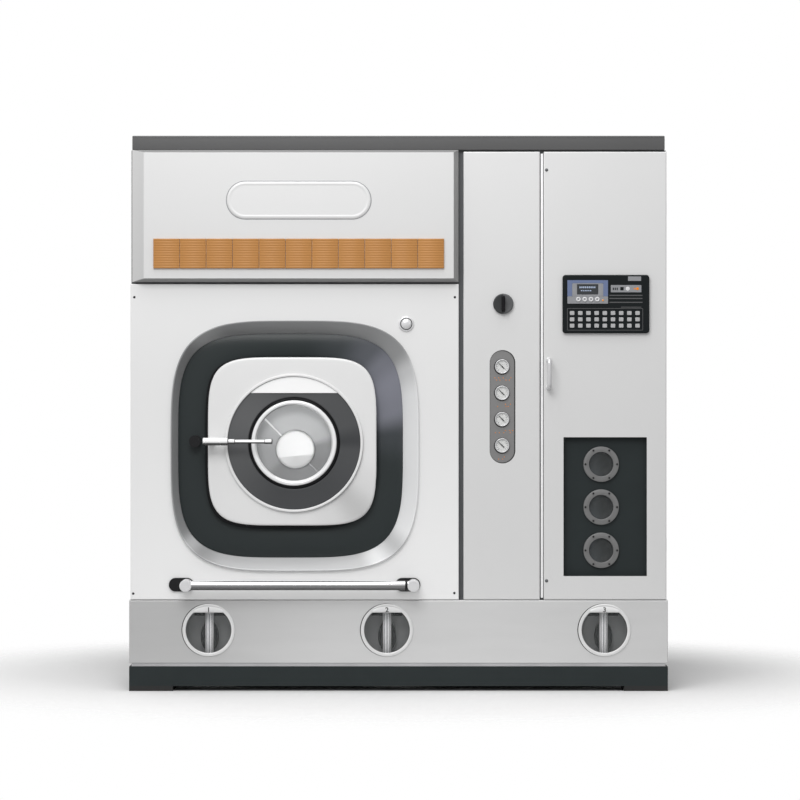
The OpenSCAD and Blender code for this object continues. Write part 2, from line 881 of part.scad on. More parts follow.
module drive_motor() {
    half = motor_r - 10;
    color([0.25, 0.3, 0.34])
        difference() {
            union() {
                rod_y(motor_at, motor_r, motor_d[0], motor_d[1]);
                bar([motor_at[0] - half, motor_at[0] + half], motor_d,
                    [deck_z, deck_z + 17]);
                bar([motor_at[0] - 40, motor_at[0] + 40], [motor_d[0] + 20, motor_d[1] - 20],
                    [deck_z + 10, motor_at[1]]);
            }
            rod_y(motor_at, motor_shaft_r + run_gap, motor_d[1] - 60, motor_d[1] + over);
        }
}

module motor_pulley() {
    r = motor_pulley_r;
    color([0.5, 0.5, 0.5]) {
        rod_y(motor_at, motor_shaft_r, motor_d[1] - 55, pulley_d1);
        turned_y(motor_at)
            polygon([[0, pulley_d0], [r + 8, pulley_d0], [r + 8, pulley_d0 + 3],
                     [r, pulley_d0 + 4], [r, pulley_d1 - 4], [r + 8, pulley_d1 - 3],
                     [r + 8, pulley_d1], [0, pulley_d1]]);
    }
}

// Outline of a belt round both pulleys, a distance off their running faces
function belt_outline(off, steps = 48) =
    let (a = [drum_cx, drum_cz],
         heading = atan2(motor_at[1] - a[1], motor_at[0] - a[0]),
         lean = acos((drum_pulley_r - motor_pulley_r) / norm(motor_at - a)),
         big = drum_pulley_r + off,
         small = motor_pulley_r + off)
    concat(
        [for (i = [0:steps])
            let (turn = heading + lean + i * (360 - 2 * lean) / steps)
                a + big * [cos(turn), sin(turn)]],
        [for (i = [0:steps])
            let (turn = heading - lean + i * 2 * lean / steps)
                motor_at + small * [cos(turn), sin(turn)]]
    );

module drive_belt() {
    color([0.06, 0.06, 0.06])
        face(belt_d0, belt_d0 + belt_w)
            difference() {
                polygon(belt_outline(belt_gap + belt_t));
                polygon(belt_outline(belt_gap));
            }
}

// ---------- Tanks, pump, filter and cooling ----------

module solvent_tanks() {
    t = tank_wall;
    color([0.65, 0.66, 0.66])
        for (x = tank_x)
            difference() {
                bar(x, tank_d, [base_top, tank_top]);
                bar([x[0] + t, x[1] - t], [tank_d[0] + t, tank_d[1] - t],
                    [base_top + t, tank_top - t]);
            }
}

module solvent_pump() {
    x = (middle_x0 + middle_x1) / 2;
    z = deck_z + 90;
    d = [middle_rails[0], middle_rails[1] + post];
    color([0.3, 0.36, 0.4]) {
        bar([x - 70, x + 70], d, [deck_z, deck_z + 10]);
        bar([x - 30, x + 30], [d[0] + 20, d[1] - 20], [deck_z + 9, z]);
        rod_y([x, z], 60, d[0] + 90, d[1]);
        rod_y([x, z], 76, d[0], d[0] + 80);
        rod_y([x, z], 30, d[0] + 79, d[0] + 91);
        rod_z(x, d[0] + 40, 20, z, z + 160);
    }
}

// Half section of the filter vessel, drawn in by a wall on every side
function vessel_profile(z0, z1, wall) = [
    [0, z0 + wall], [filter_r - 40, z0 + wall], [filter_r - wall, z0 + 40],
    [filter_r - wall, z1 - 50], [filter_r - 60, z1 - wall], [0, z1 - wall]
];

module filter_vessel() {
    z0 = deck_z + 60;
    z1 = filter_neck_z[2] + 260;
    wall = 5;
    color([0.62, 0.63, 0.64]) {
        difference() {
            union() {
                translate([filter_x, front + filter_d, 0])
                    rotate_extrude()
                        polygon(vessel_profile(z0, z1, 0));
                for (z = filter_neck_z)
                    rod_y([filter_x, z], neck_r + 6, window_plate_d + window_plate_t,
                          filter_d - filter_r + 30);
            }
            translate([filter_x, front + filter_d, 0])
                rotate_extrude()
                    polygon(vessel_profile(z0, z1, wall));
            for (z = filter_neck_z)
                rod_y([filter_x, z], neck_r, window_plate_d, filter_d - filter_r + 31);
        }
        difference() {
            rod_z(filter_x, filter_d, filter_r - 30, deck_z, z0 + 10);
            rod_z(filter_x, filter_d, filter_r - 36, deck_z - over, z0 + over);
        }
    }
}

// The plate behind the opening of the control door, with three bolted window rings
module window_plate() {
    back = window_plate_d + window_plate_t;
    color([0.12, 0.13, 0.13])
        difference() {
            union() {
                bar([window_x[0] - 12, window_x[1] + 12], [window_plate_d, back],
                    [window_z[0] - 12, window_z[1] + 12]);
                for (z = filter_neck_z) {
                    rod_y([filter_x, z], neck_r + 20, window_ring_d, back);
                    for (turn = [0:60:300])
                        rod_y([filter_x + 57 * cos(turn), z + 57 * sin(turn)], 4.5,
                              window_ring_d - 4, window_ring_d + 1);
                }
            }
            for (z = filter_neck_z)
                rod_y([filter_x, z], neck_r, window_ring_d - over, back + over);
        }
}

// An air box over the tub, cut to the tub's curve, with a round branch to the rear collar
module recovery_duct() {
    half = 240;
    t = 3;
    d = [tub_d0 + 42, tub_d1 - 20];
    z = [drum_cz + tub_r - 60, drum_cz + tub_r + 120];
    drum_at = [drum_cx, drum_cz];
    branch = [drum_cx, d[1] - 120];
    color([0.68, 0.69, 0.7])
        difference() {
            union() {
                bar([drum_cx - half, drum_cx + half], d, z);
                rod_z(branch[0], branch[1], 60, z[1] - over, z[1] + 25);
            }
            rod_y(drum_at, tub_r + soft_gap, d[0] - over, d[1] + over);
            difference() {
                bar([drum_cx - half + t, drum_cx + half - t], [d[0] + t, d[1] - t],
                    [z[0] - over, z[1] - t]);
                rod_y(drum_at, tub_r + soft_gap + t, d[0], d[1]);
            }
            rod_z(branch[0], branch[1], 60 - t, z[1] - t - over, z[1] + 25 + over);
        }
}

module compressor() {
    x = (control_x0 + upper_x) / 2;
    d = [right_rails[1], right_rails[2] + post];
    color([0.1, 0.11, 0.12]) {
        bar([x - 180, x + 180], d, [deck_z, deck_z + 12]);
        translate([x - 70, front + d[0] + 120, 0])
            rotate_extrude()
                polygon([[0, deck_z + 11], [80, deck_z + 11], [105, deck_z + 40],
                         [105, deck_z + 230], [80, deck_z + 275], [0, deck_z + 290]]);
        bar([x + 60, x + 160], [d[0] + 10, d[1] - 10], [deck_z + 11, deck_z + 300]);
    }
}

// Pipe stubs, the exhaust collar and the mains cable gland, on the rear sheets
module service_stubs() {
    color([0.55, 0.56, 0.57]) {
        for (s = stubs) {
            rod_y(s, s[2], inside_d - stub_inner, body_d + stub_reach);
            rod_y(s, s[2] + stub_flange, body_d, body_d + 5);
        }
        difference() {
            union() {
                rod_y(exhaust_at, exhaust_r, inside_d - stub_inner, body_d + stub_reach);
                rod_y(exhaust_at, exhaust_r + stub_flange, body_d, body_d + 3);
            }
            rod_y(exhaust_at, exhaust_r - 3, inside_d - stub_inner - over,
                  body_d + stub_reach + over);
        }
        tube_y(gland_at, gland_bore_r + 4, gland_bore_r, inside_d - 20, body_d + 30);
        tube_y(gland_at, gland_bore_r + 10, gland_bore_r, body_d, body_d + 12);
    }
}

// ---------- Loading door ----------

module door_plate() {
    back = plate_rim_d;
    color([0.86, 0.87, 0.87])
        difference() {
            union() {
                difference() {
                    face(plate_front, back)
                        translate(plate_at)
                            polygon(squircle(plate_w, plate_h, plate_n));
                    face(plate_skin_d, back + over)
                        translate(plate_at)
                            polygon(squircle(plate_w - 2 * plate_t, plate_h - 2 * plate_t,
                                             plate_n));
                }
                rod_y([lever_x, lever_z], spindle_r + 4, plate_front, back);
            }
            rod_y([door_cx, door_cz], ring_seat_r, plate_front - over, plate_skin_d + over);
            rod_y([lever_x, lever_z], spindle_r + run_gap, plate_front - over, back + over);
            for (z = hinge_z)
                bar([hinge_x, hinge_x + 40], [plate_skin_d, back + over],
                    [z - hinge_reach - 2, z + hinge_reach + 2]);
        }
}

module door_ring() {
    r = ring_r;
    b = ring_body_r;
    g = glass_seat_r;
    groove = g + 10;
    chord = 180;
    color([0.3, 0.31, 0.32]) {
        turned_y([door_cx, door_cz])
            polygon([[g, 0], [groove, 0], [groove, 3], [groove + 7, 3], [groove + 7, -1],
                     [r - 10.5, -5], [r - 10.5, -9], [r - 8.5, -11], [r - 2, -11],
                     [r, -9], [r, plate_front], [ring_seat_r - soft_gap, plate_front],
                     [ring_seat_r - soft_gap, 6], [b, 6], [b, ring_back_d],
                     [b - ring_wall, ring_back_d], [b - ring_wall, 8], [g + 6, 8],
                     [g + 6, glass_t + 4], [g - 5, glass_t + 4], [g - 5, glass_t],
                     [g, glass_t]]);
        face(-7, -2)
            intersection() {
                translate([door_cx, door_cz])
                    circle(r - 10);
                translate([door_cx - r, door_cz + chord])
                    square([2 * r, r]);
            }
    }
}

module porthole_ring() {
    inner = glass_r - 12;
    outer = glass_r + 6.3;
    color([0.85, 0.85, 0.86])
        turned_y([door_cx, door_cz])
            polygon([[inner, 0], [inner, -3], [inner + 5, -10], [outer - 5, -10],
                     [outer, -5], [outer, 0]]);
}

module door_glass() {
    color([0.6, 0.65, 0.65, 0.5])
        rod_y([door_cx, door_cz], glass_r, 0, glass_t);
}

// Fixed hinge halves: a foot on the surround, two ears and the pin
module door_hinge_brackets() {
    color([0.45, 0.45, 0.46])
        for (z = hinge_z) {
            bar([hinge_x - 20, hinge_x + 30], [surround_depth - 3, surround_depth],
                [z - hinge_reach, z + hinge_reach]);
            rod_z(hinge_x, hinge_d, hinge_pin_r, z - hinge_reach, z + hinge_reach);
            for (ear = [-1, 1]) {
                zc = z + ear * (knuckle_h + ear_h) / 2;
                ear_z = [zc - ear_h / 2, zc + ear_h / 2];
                bar([hinge_x - knuckle_r, hinge_x + 1], [hinge_d, surround_depth - 2], ear_z);
                rod_z(hinge_x, hinge_d, knuckle_r, ear_z[0], ear_z[1]);
            }
        }
}

// Moving hinge halves: a leaf on the back of the door plate and its knuckle
module door_hinge_leaves() {
    color([0.45, 0.45, 0.46])
        for (z = hinge_z) {
            half = knuckle_h / 2 - soft_gap;
            difference() {
                union() {
                    bar([hinge_x - 30, hinge_x + 2], [plate_skin_d, plate_skin_d + 4],
                        [z - half, z + half]);
                    bar([hinge_x - knuckle_r, hinge_x], [plate_skin_d + 3, hinge_d],
                        [z - half, z + half]);
                    rod_z(hinge_x, hinge_d, knuckle_r, z - half, z + half);
                }
                rod_z(hinge_x, hinge_d, hinge_pin_r + run_gap, z - half - over,
                      z + half + over);
            }
        }
}

// Lever, spindle and pawl: the lever points across the door when the pawl is free
module door_lever() {
    at = [lever_x, lever_z];
    color([0.8, 0.8, 0.81]) {
        rod_x(lever_d, lever_z, 14, lever_x - 28, lever_x + 62);
        rod_x(lever_d, lever_z, 9, lever_x + 61, lever_x + 86);
        rod_x(lever_d, lever_z, 7, lever_x + 85, lever_x + 194);
        rod_x(lever_d, lever_z, 8.5, lever_x + 193, lever_x + 221);
        rod_y(at, 12, lever_d, plate_front - soft_gap);
        rod_y(at, spindle_r, plate_front - over, pawl_d[1]);
        bar([lever_x - spindle_r, lever_x + spindle_r], pawl_d,
            [lever_z - spindle_r, lever_z + pawl_len]);
    }
}

// ---------- Control door ----------

module control_door() {
    color([0.8, 0.81, 0.81])
        difference() {
            tray([control_x0, upper_x], [upper_z0, panel_top], control_rim);
            bar(window_x, [-over, sheet + over], window_z);
            for (z = control_hinge_z)
                bar([control_hinge_x - 7, upper_x + over], [sheet, control_rim + over],
                    [z - 24, z + 24]);
        }
}

// Fixed hinge pins on their brackets, and the knuckles on the door's skin
module control_door_hinges() {
    color([0.45, 0.45, 0.46])
        for (z = control_hinge_z) {
            bar([control_hinge_x - 20, control_hinge_x + 6], [panel_rim - 3, panel_rim],
                [z - 22, z + 22]);
            bar([control_hinge_x - 4, control_hinge_x + 1],
                [control_hinge_d, panel_rim - 2], [z - 22, z - 12]);
            rod_z(control_hinge_x, control_hinge_d, control_pin_r + 2, z - 22, z - 12);
            rod_z(control_hinge_x, control_hinge_d, control_pin_r, z - 22, z + 12);
        }
}

// A vertical pull handle, two lock screws and the knuckles, all fixed to the control door
module control_door_fittings() {
    x = control_x0 + 18;
    z = [panel_top - 858, panel_top - 743];
    grip_d = -42;
    color([0.5, 0.5, 0.51]) {
        rod_z(x, grip_d, 8, z[0], z[1]);
        for (end = [z[0] + 8, z[1] - 8])
            rod_y([x, end], 8, grip_d, 0);
        for (at = [[control_x0 + 10, panel_top - 66], [control_x0 + 10, upper_z0 + 68]])
            turned_y(at)
                polygon([[0, -4], [6, -4], [8, -2], [8, 0], [0, 0]]);
        for (hz = control_hinge_z)
            difference() {
                union() {
                    rod_z(control_hinge_x, control_hinge_d, control_pin_r + 2, hz - 11.7,
                          hz + 12);
                    bar([control_hinge_x - 5, control_hinge_x + 5],
                        [sheet, control_hinge_d], [hz - 11.7, hz + 12]);
                }
                rod_z(control_hinge_x, control_hinge_d, control_pin_r + run_gap,
                      hz - 12 - over, hz + 12 + over);
            }
    }
}

module keypad_case() {
    x = [keypad_x0, keypad_x0 + keypad_w];
    z = [keypad_z1 - keypad_h, keypad_z1];
    corner = 11;
    color([0.16, 0.18, 0.19])
        difference() {
            union() {
                bar([x[0] + corner, x[1] - corner], [keypad_d, 0], z);
                bar(x, [keypad_d, 0], [z[0] + corner, z[1] - corner]);
                for (cx = [x[0] + corner, x[1] - corner],
                     cz = [z[0] + corner, z[1] - corner])
                    rod_y([cx, cz], corner, keypad_d, 0);
                bar([display_at[0], display_at[0] + display_size[0]],
                    [display_d, keypad_d + over],
                    [display_at[1], display_at[1] + display_size[1]]);
            }
            for (i = [0:3])
                rod_y([button_x0 + i * display_button_pitch, button_z],
                      display_button_r + run_gap, display_d - over,
                      button_d[1] + button_travel + 0.5);
        }
}

// The keypad's raised keys: three rows of nine on one membrane
module keypad_keys() {
    size = [18.8, 17.2];
    first = [keypad_x0 + 34, keypad_z1 - keypad_h + 27];
    row_pitch = 22.7;
    color([0.75, 0.76, 0.76])
        for (i = [0:8], j = [0:2]) {
            x = first[0] + i * key_pitch;
            z = first[1] + j * row_pitch;
            bar([x - size[0] / 2, x + size[0] / 2], [keypad_d - 2.5, keypad_d],
                [z - size[1] / 2, z + size[1] / 2]);
        }
}

module display_button(i) {
    color([0.92, 0.92, 0.92])
        rod_y([button_x0 + i * display_button_pitch, button_z], display_button_r,
              button_d[0], button_d[1]);
}

module display_button_1() { display_button(0); }
module display_button_2() { display_button(1); }
module display_button_3() { display_button(2); }
module display_button_4() { display_button(3); }

base_frame();
foot_pads();
cabinet_frame();
roof_panel();
side_panels();
rear_panels();
tank_front_panel();
loading_front_panel();
header_cover();
indicator_lenses();
middle_front_panel();
panel_screws();
door_bezel();
door_surround();
latch_keeper();
grab_rail();
rail_brackets();
gauge_plate();
gauge_cases();
sight_rings();
sight_glasses();
level_tubes();
switch_bodies();
tub();
door_seal();
bearing_housing();
drive_motor();
drive_belt();
solvent_tanks();
solvent_pump();
filter_vessel();
recovery_duct();
compressor();
service_stubs();
door_hinge_brackets();
door_hinge_leaves();
control_door_hinges();
window_plate();
gauge_pointer_1();
gauge_pointer_2();
gauge_pointer_3();
gauge_pointer_4();
switch_knob();
release_button();
door_plate();
door_ring();
porthole_ring();
door_glass();
door_lever();
control_door();
keypad_case();
keypad_keys();
control_door_fittings();
display_button_1();
display_button_2();
display_button_3();
display_button_4();
drum();
drum_pulley();
motor_pulley();
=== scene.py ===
import math

import bmesh
import bpy
import numpy as np
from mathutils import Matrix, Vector
from mathutils.geometry import delaunay_2d_cdt


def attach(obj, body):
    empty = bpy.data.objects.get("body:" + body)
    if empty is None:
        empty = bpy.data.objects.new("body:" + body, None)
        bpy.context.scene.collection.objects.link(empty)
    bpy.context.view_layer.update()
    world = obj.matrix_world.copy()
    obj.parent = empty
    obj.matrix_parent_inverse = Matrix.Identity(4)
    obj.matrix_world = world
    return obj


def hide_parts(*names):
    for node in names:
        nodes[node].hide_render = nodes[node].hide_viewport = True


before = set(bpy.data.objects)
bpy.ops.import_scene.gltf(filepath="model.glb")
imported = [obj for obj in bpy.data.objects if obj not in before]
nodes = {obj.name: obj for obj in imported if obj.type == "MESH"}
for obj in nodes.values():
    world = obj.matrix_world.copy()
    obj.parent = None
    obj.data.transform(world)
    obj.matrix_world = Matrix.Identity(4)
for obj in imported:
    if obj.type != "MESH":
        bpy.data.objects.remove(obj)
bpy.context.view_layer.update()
frontPlane = -569  # y of the front panels, in millimetres
turn = 2 * math.pi


# Shapes. Outlines lie in the plane of the front, in millimetres across and up,
# and a depth is measured behind the front panels, so one that stands out is negative.

def spot(x, depth, z):  # the same point or points in metres
    x, y, z = np.broadcast_arrays(np.asarray(x, float), frontPlane + np.asarray(depth, float), z)
    return np.stack([x, y, z], -1) * 0.001


def laid(outline, depth):  # an outline in the plane of the front, at a depth
    return spot(outline[:, 0], depth, outline[:, 1])


def angled(at, a, long, wide):
    # points counted from a place along the direction at an angle, and square to it
    way, side = np.array([np.cos(a), np.sin(a)]), np.array([-np.sin(a), np.cos(a)])
    return np.asarray(at) + np.asarray(long)[:, None] * way + np.asarray(wide)[:, None] * side


def offset(base, *steps):  # pairs of radius and depth, counted from a base pair
    return [(base[0] + r, base[1] + d) for r, d in steps]


def circle(at, radius, count=96):  # centre plus radius times cosine and sine
    a = np.arange(count) * turn / count
    return np.stack([at[0] + radius * np.cos(a), at[1] + radius * np.sin(a)], -1)


def levelCircle(at, radius, rise, count=192):  # a circle whose top is cut level at a rise
    o = circle(at, radius, count)
    o[:, 1] = np.minimum(o[:, 1], at[1] + rise)
    return o


def squircle(at, w, h, power, count=240):  # cosine and sine raised to 2 / power, signs kept
    a = np.arange(count) * turn / count
    c, s = np.cos(a), np.sin(a)
    return np.stack([at[0] + w / 2 * np.sign(c) * np.abs(c) ** (2 / power),
                     at[1] + h / 2 * np.sign(s) * np.abs(s) ** (2 / power)], -1)


def roundedBox(x, z, radius, perCorner=8):  # four quarter circles joined by straight sides
    r = max(radius, 0.01)
    a = np.arange(4 * perCorner) // perCorner * turn / 4
    a = a + np.tile(np.linspace(0, turn / 4, perCorner), 4)
    cx = np.repeat([x[1] - r, x[0] + r, x[0] + r, x[1] - r], perCorner)
    cz = np.repeat([z[1] - r, z[1] - r, z[0] + r, z[0] + r], perCorner)
    return np.stack([cx + r * np.cos(a), cz + r * np.sin(a)], -1)


def boxOutline(x, z, corner=1.5, perCorner=4):  # a rounded box that can be drawn in
    return lambda i: roundedBox([x[0] + i, x[1] - i], [z[0] + i, z[1] - i],
                                max(corner - i, 0.05), perCorner)


def pill(at, w, h, perCorner=16):  # a box whose corners are as round as its short side allows
    return roundedBox([at[0] - w / 2, at[0] + w / 2], [at[1] - h / 2, at[1] + h / 2],
                      min(w, h) / 2 - 0.01, perCorner)


def quarter(radius, steps=5):  # pairs of inset and depth round an edge, from side to face
    a = np.linspace(0, turn / 4, steps)
    return np.stack([radius - radius * np.cos(a), radius - radius * np.sin(a)], -1)


def skin(rings, closed=False, caps=(True, True)):
    # quads from each ring of points to the next; the first and last ring can be filled
    rings = np.asarray(rings)
    count, around = rings.shape[:2]
    i = np.arange(count if closed else count - 1)[:, None]
    j = np.arange(around)[None, :]
    k, n = (i + 1) % count, (j + 1) % around
    quads = np.stack([i * around + j, i * around + n, k * around + n, k * around + j], -1)
    faces = quads.reshape(-1, 4).tolist()
    if not closed and caps[0]:
        faces.append(list(range(around))[::-1])
    if not closed and caps[1]:
        faces.append(list(range((count - 1) * around, count * around)))
    return rings.reshape(-1, 3), faces


def slab(outline, steps):
    # a solid with one outline, drawn in and set at a depth by each pair of steps
    return skin([laid(outline(i), d) for i, d in steps])


def softSlab(outline, back, face, radius, backRadius=0):
    # a slab with its edges rounded, at the face and where asked at the back
    steps = [(i, face + d) for i, d in quarter(radius)] + [(radius + 0.6, face)]
    if backRadius:
        steps = [(i, back - d) for i, d in quarter(backRadius)[::-1]] + steps
        return slab(outline, [(backRadius + 0.6, back)] + steps)
    return slab(outline, [(0, back)] + steps)


def plainBox(x, depth, z, edge=1):  # a box between limits, its front and back edges softened
    return softSlab(boxOutline(x, z, edge + 0.5, 4), depth[1], depth[0], edge, edge)


def bridged(outer, inner, steps):
    # a ring of sheet or solid: each step lies a share of the way in, at its own depth
    rings = [outer + (inner - outer) * share for share, _ in steps]
    return skin([laid(o, d) for o, (_, d) in zip(rings, steps)], closed=True)


def turned(at, profile, steps=96):
    # a closed profile of radius and depth, carried round a front-to-back axis
    p = np.asarray(profile, float)
    a = np.arange(steps) * turn / steps
    rings = spot(at[0] + p[:, :1] * np.cos(a), p[:, 1:], at[1] + p[:, :1] * np.sin(a))
    return skin(rings, closed=True)


def rod(start, end, profile, steps=48):
    # a closed profile of radius and distance, carried round the line from start to end
    start, end = spot(*start), spot(*end)
    way = (end - start) / np.linalg.norm(end - start)
    side = np.cross(way, [0, 0, 1] if abs(way[2]) < 0.9 else [0, 1, 0])
    side /= np.linalg.norm(side)
    up = np.cross(way, side)
    a = np.arange(steps) * turn / steps
    ring = np.cos(a)[:, None] * side + np.sin(a)[:, None] * up
    p = np.asarray(profile, float) * 0.001
    return skin(start + p[:, 1, None, None] * way + p[:, 0, None, None] * ring[None], closed=True)


def sweep(path, radius, sides=24):
    # a circle carried along a path in one upright plane, square to the path all the way
    path = spot(*np.asarray(path, float).T)
    way = np.gradient(path, axis=0)
    way /= np.linalg.norm(way, axis=1)[:, None]
    up = np.cross(way, [1, 0, 0])
    a = np.arange(sides) * turn / sides
    ring = np.cos(a)[None, :, None] * np.array([1, 0, 0]) + np.sin(a)[None, :, None] * up[:, None]
    return skin(path[:, None] + radius * 0.001 * ring)


def roundEnds(radius, length, edge, start=0):
    # radius and distance of a rod whose two ends are softened
    q = quarter(edge)
    return ([(0, start)] + [(radius - i, start + d) for i, d in q[::-1]]
            + [(radius - i, start + length - d) for i, d in q] + [(0, start + length)])


def filled(outer, holes, depth):
    # triangles between an outline and its holes, all at one depth
    loops = [outer, *holes]
    starts = np.cumsum([0] + [len(p) for p in loops])
    rims = [list(range(s, s + len(p))) for s, p in zip(starts.tolist(), loops)]
    points, _, faces = delaunay_2d_cdt([Vector(p) for p in np.vstack(loops)], [], rims, 2, 1e-5)[:3]
    flat = np.array([tuple(p) for p in points])
    return laid(flat, depth), [list(f) for f in faces]


def foldedSheet(outer, holes, size):
    # a sheet with its outer edge folded back over a small radius, and holes cut through
    t, rim, edge = size["thick"], size["rim"], size["edge"]
    inner = max(edge - t, 0.2)
    inside = [(t + i, t + d) for i, d in quarter(inner, 4)][::-1]
    steps = [(t + inner, t)] + inside[1:] + [(t, rim), (0, rim)]
    steps += [tuple(s) for s in quarter(edge, 6)] + [(edge + 1, 0)]

    def ring(inset, depth):  # the rim is cut back to the sheet where the size asks for it
        o = outer(inset)
        cut = size["relief"](o) if "relief" in size else np.zeros(len(o), bool)
        return laid(o, np.where(cut, min(depth, t), depth))

    rings = [ring(*step) for step in steps]
    parts = [skin(rings, caps=(False, False)), filled(outer(edge + 1), holes, 0),
             filled(outer(t + inner), holes, t)]
    for hole in holes:
        parts.append(skin([laid(hole, d) for d in (0, t)], caps=(False, False)))
    return parts


def screwHead(at, radius, high):
    # a low dome, its height falling with the square of the radius, and a bar over its top
    rise = [(radius * s, -high * (1 - s * s)) for s in (1, 0.92, 0.75, 0.5, 0.25, 0)]
    half, wide = radius * 0.8, radius * 0.13
    cut = roundedBox([at[0] - half, at[0] + half], [at[1] - wide, at[1] + wide], wide * 0.6, 3)
    return [turned(at, [(0, 0.2), (radius, 0.2)] + rise, 24),
            skin([laid(cut, d) for d in (0, -high * 1.02)])]


def joined(*groups):  # one list of parts out of several
    return [part for group in groups for part in (group if isinstance(group, list) else [group])]


def piece(name, parts, look, body="cabinet", stands=(), smooth=32):
    # one mesh from several parts, welded, with its normals outward and its finish set
    parts = [parts] if isinstance(parts, tuple) else list(parts)
    points = np.vstack([p for p, _ in parts])
    starts = np.cumsum([0] + [len(p) for p, _ in parts])
    faces = [[int(v + s) for v in f] for s, (_, fs) in zip(starts, parts) for f in fs]
    mesh = bpy.data.meshes.new(name)
    mesh.from_pydata(points.tolist(), [], faces)
    tidy = bmesh.new()
    tidy.from_mesh(mesh)
    bmesh.ops.remove_doubles(tidy, verts=tidy.verts, dist=2e-6)
    bmesh.ops.recalc_face_normals(tidy, faces=tidy.faces)
    tidy.to_mesh(mesh)
    tidy.free()
    made = bpy.data.objects.new(name, mesh)
    bpy.context.scene.collection.objects.link(made)
    mesh.shade_smooth()
    mesh.set_sharp_from_angle(angle=math.radians(smooth))
    material, slotName = looks[look]
    mesh.materials.append(material)
    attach(made, body)
    if stands:
        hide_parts(*stands)


# Finishes

def setInputs(tree, node, values):  # each input is linked to a socket or given a value
    for key, value in values.items():
        if isinstance(value, bpy.types.NodeSocket):
            tree.links.new(value, node.inputs[key])
        else:
            node.inputs[key].default_value = value
    return node


def addNode(tree, kind, values=(), **settings):  # a node with its settings and its inputs
    node = tree.nodes.new("ShaderNode" + kind)
    for key, value in settings.items():
        setattr(node, key, value)
    return setInputs(tree, node, dict(values))


def spread(tree, value, low, high, start=0, end=1, kind="LINEAR"):
    # low where the value is at the start, high where it is at the end
    values = {"Value": value, "From Min": start, "From Max": end, "To Min": low, "To Max": high}
    return addNode(tree, "MapRange", values, interpolation_type=kind).outputs["Result"]


def scaledBy(tree, first, second):  # the product of two values
    return addNode(tree, "Math", {0: first, 1: second}, operation="MULTIPLY").outputs[0]


def facing(tree, source, way, low, high, width=0.5, middle=0):
    # low where the source vector points away from a direction, high where it points along
    # it, passing half way where the dot product of the two equals middle
    dot = addNode(tree, "VectorMath", {0: source, 1: Vector(way).normalized()},
                  operation="DOT_PRODUCT")
    return spread(tree, dot.outputs["Value"], low, high, middle - width, middle + width,
                  "SMOOTHSTEP")


def dotted(tree, source, pitch):
    # dark inside a circle at the middle of every cell of a grid, one everywhere else
    cells = addNode(tree, "TexVoronoi", {"Vector": source, "Scale": 1 / pitch, "Randomness": 0})
    return spread(tree, cells.outputs["Distance"], 0.2, 1, 0.24, 0.3)


def finish(name, colour, metal=0, rough=0.45, vary=0.06, roughVary=0.06, size=6,
           stretch=(1, 1, 1), grain=260, bump=0.02, coat=0, alpha=1, glow=0,
           shade=None, along=None, holes=0, gloss=0.5):
    # cloudy noise shifts the colour and roughness, and a finer one raises the grain;
    # shade paints light and shade, scaling the colour by how far the surface faces a direction,
    # along paints a gradient by how far it lies that way, and holes adds round dark dots on a grid of
    # that pitch
    material = bpy.data.materials.new(name)
    material.use_nodes = True
    tree = material.node_tree
    colour = np.broadcast_to(colour, 3).tolist()
    place = addNode(tree, "TexCoord").outputs
    at = addNode(tree, "Mapping", {"Vector": place["Object"], "Scale": stretch}).outputs["Vector"]
    cloud = addNode(tree, "TexNoise", {"Vector": at, "Scale": size, "Detail": 5}).outputs["Fac"]
    fine = addNode(tree, "TexNoise", {"Vector": at, "Scale": grain, "Detail": 3}).outputs["Fac"]
    raised = addNode(tree, "Bump", {"Height": fine, "Strength": bump, "Distance": 0.001})
    scale = spread(tree, cloud, 1 - vary, 1 + vary)
    if shade:
        scale = scaledBy(tree, scale, facing(tree, place["Normal"], *shade))
    if along:
        scale = scaledBy(tree, scale, facing(tree, place["Object"], *along))
    if holes:
        scale = scaledBy(tree, scale, dotted(tree, place["Object"], holes))
    mix = addNode(tree, "VectorMath", {0: colour, "Scale": scale}, operation="SCALE")
    values = {"Base Color": mix.outputs["Vector"], "Normal": raised.outputs["Normal"],
              "Roughness": spread(tree, fine, max(rough - roughVary, 0.02), rough + roughVary),
              "Metallic": metal, "Specular IOR Level": gloss, "Coat Weight": coat,
              "Coat Roughness": 0.08, "Alpha": alpha}
    if glow:
        values.update({"Emission Color": (*colour, 1), "Emission Strength": glow})
    setInputs(tree, tree.nodes["Principled BSDF"], values)
    return material


def paintedLightRound(name, centre, light, dark, stops, metal, rough, gloss=0.5):
    # painted light and shade round a centre, standing in for reflections and shadow: each stop is an
    # angle counted from the right, from -180 to 180, and a share of the way from dark to light
    material = finish(name, light, metal, rough, 0.03, 0.04, 5, grain=500, bump=0.03, gloss=gloss)
    tree = material.node_tree
    values = {"Vector": addNode(tree, "TexCoord").outputs["Object"], "Location": centre,
              "Rotation": (math.pi / 2, 0, 0)}
    lay = addNode(tree, "Mapping", values, vector_type="TEXTURE").outputs["Vector"]
    sector = addNode(tree, "TexGradient", {"Vector": lay}, gradient_type="RADIAL")
    ramp = addNode(tree, "ValToRGB", {"Fac": sector.outputs["Fac"]})
    elements = ramp.color_ramp.elements
    while len(elements) < len(stops):
        elements.new(0.5)
    low, high = np.broadcast_to(dark, 3), np.broadcast_to(light, 3)
    for i, (angle, share) in enumerate(stops):
        elements[i].position = 0.5 + angle / 360
        elements[i].color = (*(low + (high - low) * share), 1)
    ramp.color_ramp.interpolation = "EASE"
    mix = next(n for n in tree.nodes if n.bl_idname == "ShaderNodeVectorMath")
    tree.links.new(ramp.outputs["Color"], mix.inputs[0])
    return material


